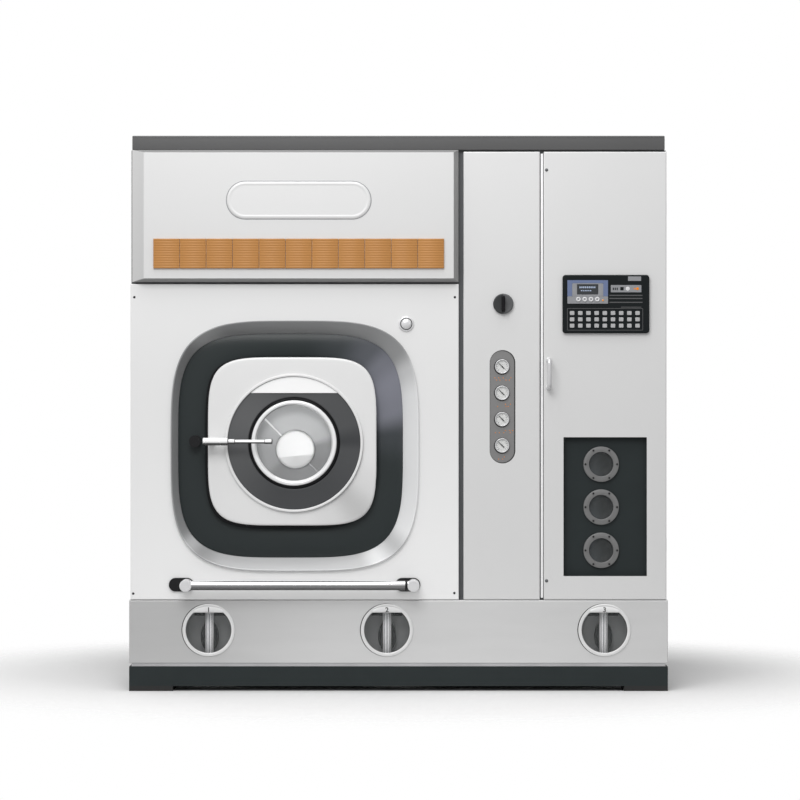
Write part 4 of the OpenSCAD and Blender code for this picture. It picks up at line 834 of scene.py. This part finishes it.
# a lifter is a ridge with sloping flanks, carried from the lip to the back
base = drum["radius"] - drum["wall"] + 0.5
across = np.array([-36, -26, -17, -12, -6, 0, 6, 12, 17, 26, 36, 36, -36])
high = np.array([0, 4, 30, 50, 58, drum["lift"], 58, 50, 30, 4, 0, 0, 0])
outlines = [angled(drum["at"], a, base - high, across) for a in np.radians(drum["lifters"])]
piece("drumLifters", [skin([laid(o, d) for d in (front + 6, end - 6)]) for o in outlines],
      "drum", "drum", smooth=50)
piece("drumBack", turned(drum["at"], offset(
    (0, back), (0, 0), (0, -3), (110, -3), (118, -5), (150, -5), (158, -2.2), (330, -1.6),
    (340, -0.6), (342, 0)), 180), "cone", "drum", smooth=40)
piece("drumHub", turned(drum["at"], [(0, back)] + offset(
    (drum["hub"], back), (0, 0), (0, -18), (-1.5, -21), (-5, -22.6), (-12, -23))
    + [(0, back - 23)], 128), "hub", "drum", smooth=40)


def ribOutline(angle):  # a bar from the hub outwards that can be drawn in
    (start, stop), half = drum["ribLong"], drum["ribHalf"]
    return lambda i: angled(drum["at"], angle, [start + i, start + i, stop - i, stop - i],
                            [half - i, i - half, i - half, half - i])


piece("drumRibs", [softSlab(ribOutline(a), back, back - 10, 1.6)
                   for a in np.radians(drum["ribs"])], "rib", "drum", smooth=50)
piece("doorSeal", turned(door["centre"], [
    (216, 60), (216, 50), (218, 46.5), (222, 45), (226, 46.2), (228, 48.5), (230, 46.2),
    (233, 44.6), (236, 45.4), (237.6, 48), (237.6, 60)], 144), "seal", stands=["door_seal"],
    smooth=50)
print("drum made")

# Tank windows: a ring with a level top, a plain number, a level tube before a dark oval

sight = {
    "ringSteps": [(0, 0), (0, -2.4), (0.03, -3.3), (0.09, -3.85), (0.16, -4), (0.22, -3.9),
                  (0.26, -3.1), (0.32, -3.1), (0.36, -3.9), (0.8, -4), (0.92, -3.7),
                  (0.98, -3), (1, -2.2), (1, 0)],
    "tubeRadius": 15.5, "tubeDepth": 45.5, "tubeZ": (125.6, 280), "backing": (64, 110),
    "backingZ": 192, "tankFront": 70, "numberZ": 293.5, "numberHigh": 17,
    "band": (56, 46, 61), "line": 1.3,
}


def printed(text, at, depth, high):
    # the outline of a number, filled, raised 0.3 mm and stood up in the plane of the front
    font = bpy.data.curves.new("number", "FONT")
    font.body, font.size, font.extrude, font.align_x = text, high / 0.7 * 0.001, 0.00015, "CENTER"
    font.resolution_u, font.offset = 4, 0.0005
    holder = bpy.data.objects.new("number", font)
    made = bpy.data.meshes.new_from_object(holder)
    points = np.array([v.co for v in made.vertices])
    faces = [list(p.vertices) for p in made.polygons]
    flat = points[:, :2] * 1000 - [0, high / 2]
    placed = spot(at[0] + flat[:, 0], depth - points[:, 2] * 1000, at[1] + flat[:, 1])
    bpy.data.objects.remove(holder)
    bpy.data.curves.remove(font)
    bpy.data.meshes.remove(made)
    return placed, faces


sightRings, tubes, backings, numbers, bands, lines, gasketShadows = [], [], [], [], [], [], []
for i, x in enumerate(tanks["windows"]):
    at = (x, tanks["z"])
    half, low, high = sight["band"]
    # a black slab under the level top of each window, a painted shadow
    bands.append(plainBox((x - half, x + half), (61.5, 70.5), (at[1] + low, at[1] + high), 1.5))
    # a black gasket behind each ring, set off to the left so that it shows only there, as a painted
    # shadow
    gasketShadows.append(turned((x - 2.6, at[1] + 0.4), [(90, 0.3), (90, -1.2), (94.4, -1.2),
                                                   (94.8, -0.6), (94.8, 0.3)], 160))
    tubeFront = sight["tubeDepth"] - sight["tubeRadius"]
    for dx in (-8.5, 0, 8.5):  # a scale line down the front of the tube and one each side of it
        lift = sight["tubeRadius"] - math.sqrt(sight["tubeRadius"] ** 2 - dx ** 2)
        lines.append(plainBox((x + dx - sight["line"], x + dx + sight["line"]),
                              (tubeFront + lift - 0.2, tubeFront + lift + 3),
                              (sight["tubeZ"][0] + 4, sight["tubeZ"][1] - 4), 0.2))
    opening = levelCircle(at, tanks["open"] + 0.1, tanks["rise"])
    sightRings.append(bridged(circle(at, tanks["ring"] - 0.1, 192), opening, sight["ringSteps"]))
    numbers.append(printed(str(i + 1), (x, sight["numberZ"]), -4.15, sight["numberHigh"]))
    # the tube is a circle with a narrow notch down its front, drawn in at both ends
    a = np.arange(96) * turn / 96
    notch = 1.6 * np.exp(-(((a - 0.75 * turn) / 0.09) ** 2))
    tall = sight["tubeZ"][1] - sight["tubeZ"][0]
    steps = [(3, 0), (0.9, 0.4), (0, 2), (0, tall - 2), (0.9, tall - 0.4), (3, tall)]
    radii = [(sight["tubeRadius"] - inset - notch, rise) for inset, rise in steps]
    tubes.append(skin([spot(x + r * np.cos(a), sight["tubeDepth"] + r * np.sin(a),
                            sight["tubeZ"][0] + rise) for r, rise in radii]))
    backings.append(softSlab(
        lambda i, x=x: squircle((x, sight["backingZ"]), sight["backing"][0] - 2 * i,
                                sight["backing"][1] - 2 * i, 2, 96),
        sight["tankFront"], sight["tubeDepth"] + 1, 3))
piece("sightRings", sightRings, "sightRing", stands=["sight_rings"], smooth=50)
piece("sightGasketShadows", gasketShadows, "blackAndShade", smooth=40)
piece("windowTopShadows", bands, "black", smooth=40)
piece("tubeLines", lines, "tubeLine", smooth=30)
piece("levelTubes", tubes, "tube", stands=["level_tubes"], smooth=50)
piece("tubeBackings", backings, "blackAndShade", smooth=50)
piece("tankNumbers", numbers, "mark", smooth=20)
print("tank windows made")

# Gauges: a bevelled rim, a white dial with ticks, a tapered pointer

gauge = {"rim": 26, "dial": 22, "stem": 24, "ticks": 13, "sweep": 270, "rest": 135,
         "dots": [(-12, 8, 2), (-24, 12, -10, 28, 6, 38, 30), (-16, 12, 22, 30, 14),
                  (-20, -26, -8, -12, 14, 4, 26, 32)]}
cases, dials, ticks, marks, seatShadows = [], [], [], [], []


def needleOutline(at):  # the needle widens to its hub and narrows to its tip
    def outline(inset):
        long = np.array([-11, -11, 0, 18, 18, 0]) + inset * np.array([1, 1, 0, -1, -1, 0])
        wide = np.array([-1.9, 1.9, 1.7, 0.9, -0.9, -1.7]) * (1 - inset)
        return angled(at, math.radians(gauge["rest"]), long, wide)
    return outline


for i in range(gauges["count"]):
    at = (gauges["x"], gauges["first"] + i * gauges["pitch"])
    cases.append(turned(at, [
        (1.05, 0), *offset((gauge["dial"], 0), (0, 0), (0, -3.6), (0.4, -4.4), (1.2, -4.9), (2.4, -5)),
        *offset((gauge["rim"], 0), (-0.9, -4.7), (-0.2, -3.9), (0, -2.8), (0, 2)),
        (gauge["stem"], 2), (gauge["stem"], 45), (1.05, 45)], 72))
    dials.append(turned(at, [(1.6, 0.2), (1.6, -0.35), (gauge["dial"] - 0.4, -0.35),
                             (gauge["dial"] - 0.1, 0.2)], 64))
    for j in range(gauge["ticks"]):
        # a tick lies along the radius at its own angle, every third one longer
        a = math.radians(225 - gauge["sweep"] * j / (gauge["ticks"] - 1))
        inner, wide = (14.5, 0.9) if j % 3 == 0 else (16.5, 0.5)
        o = angled(at, a, [inner, inner, 20, 20], [-wide, wide, wide, -wide])
        ticks.append(skin([laid(o, d) for d in (-0.3, -0.5)]))
    # a black ring behind each case, set off down and to the left so that it shows there as a painted
    # shadow
    seatShadows.append(turned((at[0] - 0.8, at[1] - 0.9), [(25, 2.2), (25, 0.4), (26, -0.6), (27.4, -0.4),
                                                     (28.2, 0.6), (28.2, 2.2)], 72))
    for j, dx in enumerate(gauge["dots"][i]):  # loose dots under each gauge, in two rows
        z = at[1] - gauges["pitch"] / 2 + (6.5 if j % 2 else -1.5)
        marks.append(turned((at[0] + dx, z), [(0, 1.4), (1.4, 1.4), (1.6, 1.7), (1.6, 2.1),
                                              (0, 2.1)], 14))
    pointer = [slab(needleOutline(at), [(0, -1.3), (0, -1.9), (0.2, -2.1)]),
               turned(at, [(0, -0.7), (2.6, -0.7), (2.6, -2.4), (2.2, -2.8), (1.4, -2.9),
                           (0, -2.9)], 32),
               turned(at, [(0, -1.2), (1, -1.2), (1, 17.6), (0.8, 18), (0, 18)], 24)]
    body = "gauge_pointer_%d" % (i + 1)
    piece("gaugePointer%d" % (i + 1), pointer, "mark", body, [body])
piece("gaugeCases", cases, "fitting", stands=["gauge_cases"], smooth=40)
piece("gaugeDials", dials, "dial", smooth=40)
piece("gaugeTicks", ticks, "silver", smooth=20)
piece("gaugeMarks", marks, "orange", smooth=20)
piece("gaugeSeatShadows", seatShadows, "black", smooth=40)
cutWide, cutHigh = gauges["cut"]
# a dark liner round the inside of the cut, wider on the right, a painted shadow of the plate's edge
piece("gaugeCutShadow", bridged(pill(gaugeMid, cutWide - 0.4, cutHigh - 0.4),
                            pill((gaugeMid[0] - 1.6, gaugeMid[1] + 0.6), cutWide - 5, cutHigh - 5),
                            [(0, 2.2), (0, 0.6), (0.5, 0.4), (1, 0.8), (1, 2.2)]),
      "mark", smooth=40)

# Switch knob and release button

piece("switchKnob", [
    turned(knob["at"], [(0, -1), *offset((knob["radius"], 0), (-1.5, -1), (0, -2.4), (0, -8.5),
                                         (-0.6, -10.6), (-2.2, -12.2), (-4.6, -12.9),
                                         (-6.6, -12.6)), (24, -12.2), (0, -12.2)], 96),
    turned(knob["at"], [(0, 45), (4.3, 45), (5, 44.3), (5, -1.4), (0, -1.4)], 32)],
    "knob", "switch_knob", ["switch_knob"], smooth=35)
grip = {"wide": 11, "high": 58}


def gripOutline(inset):  # a pill, narrower and lower by twice the inset
    return pill(knob["at"], grip["wide"] - 2 * inset, grip["high"] - 2 * inset, 10)


piece("knobGrip", slab(gripOutline, [(-1.5, -11), (-0.4, -14), (0, -22), (0.9, -31), (1.6, -32.8),
                                     (3, -33.8), (5.2, -34), (5.4, -34), (5.4, -32.9), (5.6, -32.9)]),
      "blackAndShade", "switch_knob", smooth=40)
r = release["radius"]
piece("releaseBezel", turned(release["at"], offset(
    (r, 0), (0.05, -5.4), (0.6, -6.6), (2, -7), (5, -6.8), (7.2, -5.8), (8.3, -4), (8.5, -2.2),
    (8.5, 0), (2.5, 0), (2.5, 44)) + [(0, 44), (0, 40), (r + 0.05, 40)], 96),
    "post", stands=["switch_bodies"], smooth=40)
# a dark ring in the bezel round the button, painted shade in its groove
piece("releaseGrooveShadow", turned(release["at"], offset(
    (r, 0), (0.5, -6), (0.5, -7), (1, -7.5), (2.6, -7.5), (3, -7.1), (3, -6)), 64),
    "blackAndShade", smooth=40)
domeArc = [(r * math.sin(a), -8 - 8 * math.cos(a)) for a in np.linspace(0, math.pi / 2, 13)]
piece("releaseButton", turned(release["at"], domeArc + [(r, 30), (0, 30)], 72), "post",
      "release_button", ["release_button"], smooth=40)
box = {"x": (347, 407), "depth": (2, 60), "z": (1364, 1424)}
piece("switchBox", [plainBox(box["x"], box["depth"], box["z"], 2.5),
                    *[turned((x, z), [(0, 60.4), (3, 60.4), (3, 59.5), (0, 59.5)], 24)
                      for x in (357, 397) for z in (1374, 1414)]], "black")
print("gauges and knobs made")

# Grab rail and door lever

rail = {"x": (-761.4, 53.6), "z": 383.4, "depth": -50, "radius": 16.5}
posts = [turned((x, rail["z"]), [
    (0, -71.6), (11, -71.6), (11.5, -71.1), (12.3, -71.1), (12.8, -71.9), (18.5, -72),
    (20.4, -71.5), (21.3, -70.2), (21.5, -68.6), (21.5, -10), (20.5, -8), (0, -8)], 72)
    for x in rail["x"]]
bar = rod((rail["x"][0], rail["depth"], rail["z"]), (rail["x"][1], rail["depth"], rail["z"]),
          roundEnds(rail["radius"], rail["x"][1] - rail["x"][0], 1.5), 64)
piece("grabRail", [bar], "rail", stands=["grab_rail"], smooth=40)
piece("railPosts", posts, "post", smooth=40)
brackets = [softSlab(lambda i, x=x: pill((x - 20, rail["z"]), 90 - 2 * i, 49 - 2 * i), 0, -8, 2)
            for x in rail["x"]]
# the collar is black to stand in for the shadow where the rail meets its right post
collar = rail["x"][1] - 30  # a dark collar where the rail enters its right post
brackets.append(rod((collar, rail["depth"], rail["z"]), (collar + 9, rail["depth"], rail["z"]),
                    roundEnds(17.1, 9, 0.5), 64))
piece("railBrackets", brackets, "black", stands=["rail_brackets"], smooth=40)

lever = {"x": -700.5, "z": 899, "depth": -48, "pivot": -672.5, "long": 249,
         "bands": [(88.6, 3, 12.6), (113, 2.6, 8.9), (220.6, 2.4, 8.3), (245.8, 3.2, 8.8)]}
leverProfile = [(0, 0), (11.5, 0), (13.2, 0.7), (14, 2.4), (14, 9), (13, 9.8), (13, 11.4),
                (14, 12.2), (14, 62), (13, 62.8), (13, 64.4), (14, 65.2), (14, 86), (13, 88.6),
                (9.6, 90), (9, 91.5), (9, 112), (8.2, 114), (7, 114.6), (7, 221.4), (8, 222),
                (8.5, 223), (8.5, 246), (7.8, 248), (6, 249), (0, 249)]
pivot, level = lever["pivot"], lever["z"]


def onLever(start, end, profile, steps):  # a rod between two places along the lever's line
    return rod(*[(lever["x"] + x, lever["depth"], level) for x in (start, end)], profile, steps)


piece("doorLever", [
    onLever(0, lever["long"], leverProfile, 56),
    turned((pivot, level), [(0, -50), (11, -50), (12, -48), (12, -7), (11.4, -4.4),
                            (10.4, -2.3), (0, -2.3)], 48),
    turned((pivot, level), [(0, -3), (8, -3), (8, 23), (7.5, 23.5), (0, 23.5)], 40),
    softSlab(boxOutline((pivot - 8, pivot + 8), (level - 8, level + 62), 6, 6),
             23.5, 17.5, 0.8, 0.8)], "lever", "door_lever", ["door_lever"], smooth=32)
# a dark ring at each step of the lever, and a dark cap at its tip, painted shade in the steps
leverStepShadows = [onLever(start, start + long, roundEnds(radius, long, 0.6), 40)
              for start, long, radius in lever["bands"]]
piece("leverStepShadows", leverStepShadows, "black", "door_lever", smooth=40)
print("rail and lever made")

# Control door: keypad, handle, lock screws and hinge knuckles

keypad = {
    "x": (590, 902), "z": (1288, 1498), "corner": 11,
    "display": ((607, 753), (1394.5, 1478.5)), "lcd": ((641.5, 718.2), (1426.7, 1464.1)),
    "buttonAt": (646.5, 1410), "buttonPitch": 22.6, "buttonRadius": 8.5,
    "lamp": (734.4, 1406.2), "strip": ((763, 873), (1435, 1461)),
    "label": ((825, 872), (1476, 1492)),
    "lines": [*[((758, 877), (z - 1.9, z + 1.9)) for z in (1424, 1413, 1399)],
              ((800, 873), (1380.4, 1383))],
    "keyAt": (624, 1315), "keyPitch": (29.4, 22.7), "key": (16.2, 14.2), "keys": (9, 3),
    "well": ([608, 877], [1300, 1376]),
}


def framed(outer, inner, back, face, edge=0.8):
    # a flat frame between two boxes, its front edges softened
    o = roundedBox(*outer, 3, 4)
    i = roundedBox(*inner, 1.5, 4)
    return bridged(o, i, [(0, back), (0, face + edge), (0.04, face + 0.2), (0.1, face), (0.9, face),
                          (0.97, face + 0.3), (1, face + edge), (1, back)])


def bored(outer, holes, depths):  # a plate between two depths with holes through it
    walls = [skin([laid(loop, d) for d in depths], caps=(False, False)) for loop in [outer, *holes]]
    return [filled(outer, holes, d) for d in depths] + walls


buttonX, buttonZ = keypad["buttonAt"]
buttonSpots = [(buttonX + j * keypad["buttonPitch"], buttonZ) for j in range(4)]
caseOutline = boxOutline(keypad["x"], keypad["z"], keypad["corner"], 8)
bores = [circle(p, keypad["buttonRadius"] + 0.1, 40) for p in buttonSpots]
caseRings = [(0.4, 0), (0, -0.4), (0, -9.5)] + [(i, d - 14) for i, d in quarter(4.5, 7)]
caseRings += [(5.2, -14)]
piece("keypadCase", [
    skin([laid(caseOutline(i), d) for i, d in caseRings], caps=(True, False)),
    filled(caseOutline(5.2), bores, -14),
    *[skin([laid(b, d) for d in (-14, -7)], caps=(False, True)) for b in bores]],
    "case", "control_door", ["keypad_case"], smooth=40)
d = keypad["display"]
shelf, bar, rise = 26, 17, 11  # the grey shelf under the display, and the blue bars round it
lip = ([d[0][0] + bar, d[0][1] - bar], [d[1][0] + shelf, d[1][1] - rise])
piece("displayFrame", joined(
    bored(roundedBox(d[0], [d[1][0], d[1][0] + shelf], 2, 4), bores, (-16.4, -13.9)),
    framed(lip, keypad["lcd"], -13.9, -16.2, 0.5)), "silver",
    "control_door", smooth=40)
piece("displayBars", [plainBox(x, (-16.8, -13.9), (low, d[1][1]), 0.6) for x, low in (
    ((d[0][0], lip[0][0]), lip[1][0]), ((lip[0][1], d[0][1]), lip[1][0]), (lip[0], lip[1][1]))],
    "display", "control_door", smooth=40)
lcdX, lcdZ = keypad["lcd"]
piece("displayGlass", plainBox((lcdX[0] - 1, lcdX[1] + 1), (-15, -13.9),
                               (lcdZ[0] - 1, lcdZ[1] + 1), 0.2), "lcd", "control_door")
segments = []
for row, (z, count, high) in enumerate([(1453, 9, 6), (1441, 6, 3.6)]):
    for j in range(count):
        x = lcdX[0] + 9 + j * 6.6 + row * 5
        segments.append(plainBox((x, x + 4.2), (-15.25, -15), (z - high / 2, z + high / 2), 0.1))
piece("displayDigits", segments, "digits", "control_door", smooth=20)
s = keypad["strip"]
piece("statusStrip", plainBox(s[0], (-15.4, -13.9), s[1], 0.5), "silver", "control_door")
status = {"square": ((797, 809), (-15.8, -15.3), (1442, 1454)), "bars": (770, 777, 784),
          "barWide": 4, "barZ": (1443, 1452), "dot": (824, 1448), "orange": (859, 1448),
          "dash": ((846, 852), (-15.9, -15.3), (1446, 1450))}
piece("statusMarks", [
    plainBox(*status["square"], 0.2),
    *[plainBox((x, x + status["barWide"]), (-15.7, -15.3), status["barZ"], 0.2)
      for x in status["bars"]]], "case", "control_door")
piece("statusDot", turned(status["dot"], [
    (0, -15.3), (7.4, -15.3), (7.2, -15.9), (6.2, -16.2), (0, -16.3)], 48),
    "button", "control_door")
piece("statusOrange", [
    turned(status["orange"], [(0, -15.3), (5, -15.3), (4.8, -15.8), (4.2, -16), (0, -16)], 32),
    plainBox(*status["dash"], 0.2)], "orange", "control_door")
piece("bareLabel", plainBox(keypad["label"][0], (-14.6, -13.9), keypad["label"][1], 0.3), "silver",
      "control_door")
piece("printedLines", [plainBox(x, (-14.25, -13.9), z, 0.1) for x, z in keypad["lines"]],
      "lines", "control_door")
piece("statusLamp", turned(keypad["lamp"], [
    (0, -16.6), (3, -16.6), (3, -17.6), (2.4, -18.4), (1.2, -18.8), (0, -18.9)], 32),
    "glow", "control_door")
keys = []
for i in range(keypad["keys"][0]):
    for j in range(keypad["keys"][1]):
        x, z = np.array(keypad["keyAt"]) + np.array(keypad["keyPitch"]) * (i, j)
        wide, high = keypad["key"][0] / 2, keypad["key"][1] / 2
        keys.append(softSlab(boxOutline((x - wide, x + wide), (z - high, z + high), 2.5, 5),
                             -14, -16.5, 1.1))
piece("keypadKeys", keys, "key", "control_door", ["keypad_keys"], smooth=40)
wellX, wellZ = keypad["well"]
piece("keyBorder", framed(([wellX[0] - 2, wellX[1] + 2], [wellZ[0] - 2, wellZ[1] + 2]),
                          keypad["well"], -13.9, -14.5, 0.3), "lines", "control_door")
r = keypad["buttonRadius"]
for j, at in enumerate(buttonSpots):
    body = "display_button_%d" % (j + 1)
    piece("displayButton%d" % (j + 1), turned(at, [
        (0, -9), *offset((r, 0), (0, -9), (0, -18.2), (-0.5, -19.3), (-1.6, -19.9), (-3, -20),
                         (-4.2, -19.5), (-4.8, -18.9)), (0, -18.8)], 48),
        "button", body, [body], smooth=40)
    piece("buttonDish%d" % (j + 1), turned(at, [
        (0, -18.6), (r - 4.9, -18.6), (r - 4.9, -19), (r - 5.6, -19.2), (0, -19)], 32),
        "silver", body, smooth=40)

handle = {"x": 541, "z": (1092, 1191), "depth": -42, "radius": 8, "bend": 14}
low, top = handle["z"]
bend, out = handle["bend"], handle["depth"]
a = np.linspace(0, turn / 4, 10)
foot = np.stack([out + bend - bend * np.sin(a), low + bend - bend * np.cos(a)], -1)
head = np.stack([foot[::-1, 0], low + top - foot[::-1, 1]], -1)
run = np.vstack([[(-1, low), (-14, low)], foot, [(out, (low + top) / 2)], head,
                 [(-14, top), (-1, top)]])
path = np.column_stack([np.full(len(run), handle["x"]), run])
feet = [turned((handle["x"], z), [(0, 0), (10.5, 0), (10.5, -1.8), (9.8, -2.6), (8.2, -3),
                                  (0, -3)], 40) for z in handle["z"]]
piece("doorHandle", joined(sweep(path, handle["radius"], 32), feet), "fitting", "control_door",
      ["control_door_fittings"], smooth=50)
lock = {"x": 533, "z": (1876, 397), "radius": 6, "high": 3.5}
piece("lockScrews", joined(*[screwHead((lock["x"], z), lock["radius"], lock["high"])
                             for z in lock["z"]]), "frame", "control_door")
knuckle = {"pin": (957, 8), "span": np.array([-11.7, 12]), "leaf": ((952.4, 954.2), (2, 8)),
           "profile": [(3.05, 0), (4.6, 0), (5, 0.5), (5, 23.2), (4.6, 23.7), (3.05, 23.7)]}
knuckles = []
for z in controlHinge["z"]:
    ends = z + knuckle["span"]
    knuckles.append(rod(*[(*knuckle["pin"], e) for e in ends], knuckle["profile"], 32))
    knuckles.append(plainBox(*knuckle["leaf"], ends, 0.3))
piece("doorKnuckles", knuckles, "hinge", "control_door")
print("control door made")

# Window plate: three cast rings, each with six bolts and a groove, on a dark plate

plate = {"x": (582, 906), "z": (402, 926), "depth": (22, 26), "neckX": 731,
         "necks": (505.8, 661.7, 816.5), "hole": 44, "bolts": 57}
holes = [circle((plate["neckX"], z), plate["hole"], 96) for z in plate["necks"]]
piece("windowPlate", bored(roundedBox(plate["x"], plate["z"], 6, 5), holes, plate["depth"]),
      "windowPlate", stands=["window_plate"], smooth=30)
castings, bolts = [], []
for z in plate["necks"]:
    at = (plate["neckX"], z)
    castings.append(turned(at, [
        (44, 22), (44, 13.2), (44.5, 12.4), (45.6, 12), (49.4, 12), (50, 12.6), (50.6, 12),
        (61.6, 12), (63, 12.5), (63.9, 13.8), (64, 15), (64, 22)], 128))
    for a in np.arange(6) * turn / 6:
        spotAt = (at[0] + plate["bolts"] * math.cos(a), at[1] + plate["bolts"] * math.sin(a))
        hexagon = circle(spotAt, 3.2, 6)
        bolts.append(turned(spotAt, [(0, 12.2), (3.7, 12.2), (3.7, 11.6), (0, 11.6)], 24))
        bolts.append(skin([laid(hexagon, d) for d in (11.7, 8.4)]))
piece("windowRings", castings, "windowRing", smooth=40)
piece("windowBolts", bolts, "black", smooth=20)
# the bowls are dark to stand in for the shade inside the necks
bowls = []
for z in plate["necks"]:
    # a quarter of an ellipse from the neck's wall back to its middle, and a skin behind it
    a = np.linspace(0, turn / 4, 10)
    hollow = np.stack([43.4 * np.cos(a), 23.5 + 18 * np.sin(a)], -1)
    bowls.append(turned((plate["neckX"], z), hollow.tolist() + [(0, 43), (20, 42), (43.4, 25.5)], 64))
piece("windowBowls", bowls, "bowl", smooth=50)
print("window plate made")

# Services at the rear: threaded stubs, the exhaust collar and the cable gland

service = {"stubs": [(-700, 500, 17), (-560, 500, 17), (-420, 500, 21), (-280, 500, 17),
                     (720, 500, 8)], "back": 1150, "reach": 1210, "inner": 1108,
           "exhaust": (-380, 1600), "gland": (720, 1500)}
wall, end, inner = service["back"], service["reach"], service["inner"]


def screwRing(at, radius, count, profile):
    # low screws round a centre, the first half a step up from the right
    angles = (np.arange(count) + 0.5) * turn / count
    return [turned((at[0] + radius * np.cos(a), at[1] + radius * np.sin(a)),
                   [(r, wall + d) for r, d in profile], 16) for a in angles]


stubParts = []
for x, z, r in service["stubs"]:
    # the thread is a saw profile of 2.5 mm pitch on the outer half of the stub
    thread = [p for d in np.arange(1176, 1205, 2.5) for p in ((r, d), (r - 0.9, d + 1.25))]
    flange = offset((r, wall), (0, 0), (14, 0), (14, 3.6), (13.2, 4.8), (12, 5), (0, 5), (0, 20),
                    (-0.9, 22))
    stubParts.append(turned((x, z), [(r - 3, inner), (r, inner)] + flange + thread
                            + offset((r, end), (-0.6, -1.4), (-1.6, 0), (-3, 0)), 64))
    stubParts += screwRing((x, z), r + 8, 4, [(0, 4.6), (3, 4.6), (3, 6.8), (2.2, 7.4), (0, 7.6)])
stubParts.append(turned(service["exhaust"], [
    (97, inner), (100, inner), *offset((100, wall), (0, 0), (14, 0), (14, 2.4), (13, 3), (0, 3),
                                       (0, 36), (1.5, 38), (1.5, 42), (0, 44), (0, 58)),
    (98.5, end), (97, end)], 128))
stubParts += screwRing(service["exhaust"], 107.5, 8,
                       [(0, 2.8), (3.2, 2.8), (3.2, 5), (2.4, 5.8), (0, 6)])
piece("serviceStubs", stubParts, "stub", stands=["service_stubs"], smooth=30)
nut = circle(service["gland"], 18.9, 6)
piece("cableGland", [
    turned(service["gland"], [(9, 1128), (13, 1128), (13, 1150), (13, 1163), (13, 1172),
                              (12.2, 1176), (10.4, 1180), (9, 1180)], 64),
    bridged(nut, circle(service["gland"], 12.6, 6), [(0, 1150), (0, 1160.6), (0.2, 1162),
                                                     (1, 1162), (1, 1150)])],
    "black", smooth=30)
rearScrews = [turned((x, z), [(r, wall + d) for r, d in [(0, -0.2), (5, -0.2), (4.8, 1.6),
                                                         (3.6, 2.6), (1.8, 3), (0, 3)]], 20)
              for x in (-940, -560, -180, 200, 250, 600, 940) for z in (130, 580, 1030, 1480, 1925)]
piece("rearScrews", rearScrews, "screw", smooth=50)
print("services made")

# Side panels: folded sheets with a row of screws down each edge

sides = {"upperX": 965, "lowerX": 970, "depth": (24, 1148), "upperZ": (329, 1949),
         "lowerZ": (100, 327), "thick": 2}
sideParts, sideScrews = [], []
for way in (-1, 1):
    for x, z in ((sides["upperX"], sides["upperZ"]), (sides["lowerX"], sides["lowerZ"])):
        # the outline runs along the depth and up; the sheet is drawn in at its outer edges
        rings, (near, far) = [], sides["depth"]
        for inset, off in [(0, sides["thick"]), (0, 1.2), (0.4, 0.4), (1.2, 0), (2.2, 0)]:
            o = roundedBox([near + inset, far - inset], [z[0] + inset, z[1] - inset], 1, 3)
            rings.append(spot(way * (x - off), o[:, 0], o[:, 1]))
        sideParts.append(skin(rings))
    for d in (60, 1112):
        for z in (380, 760, 1140, 1520, 1900):
            start = (way * (sides["upperX"] - 1), d, z)
            sideScrews.append(rod(start, (way * sides["upperX"] * 1.01, d, z),
                                  [(0, 0), (5, 0), (4.8, 2.2), (3.4, 3.2), (0, 3.8)], 20))
piece("sidePanels", sideParts, "panel", stands=["side_panels"], smooth=40)
piece("sideScrews", sideScrews, "screw", smooth=50)
print("sides made")

# Everything that keeps its own shape takes a finish

plain = {
    "base_frame": "base", "foot_pads": "rubber", "cabinet_frame": "frame", "rear_panels": "panel",
    "latch_keeper": "black", "gauge_plate": "gaugePlate", "sight_glasses": "clear", "tub": "tub",
    "bearing_housing": "iron", "drive_motor": "motor", "drive_belt": "belt",
    "solvent_tanks": "tank", "solvent_pump": "motor", "filter_vessel": "tub",
    "recovery_duct": "duct", "compressor": "compressor", "door_hinge_brackets": "smoke",
    "door_hinge_leaves": "hinge", "control_door_hinges": "hinge", "drum_pulley": "pulley",
    "motor_pulley": "pulley",
}
for node, look in plain.items():
    nodes[node].data.materials.clear()
    nodes[node].data.materials.append(looks[look][0])
print("finished nodes:", len(plain))
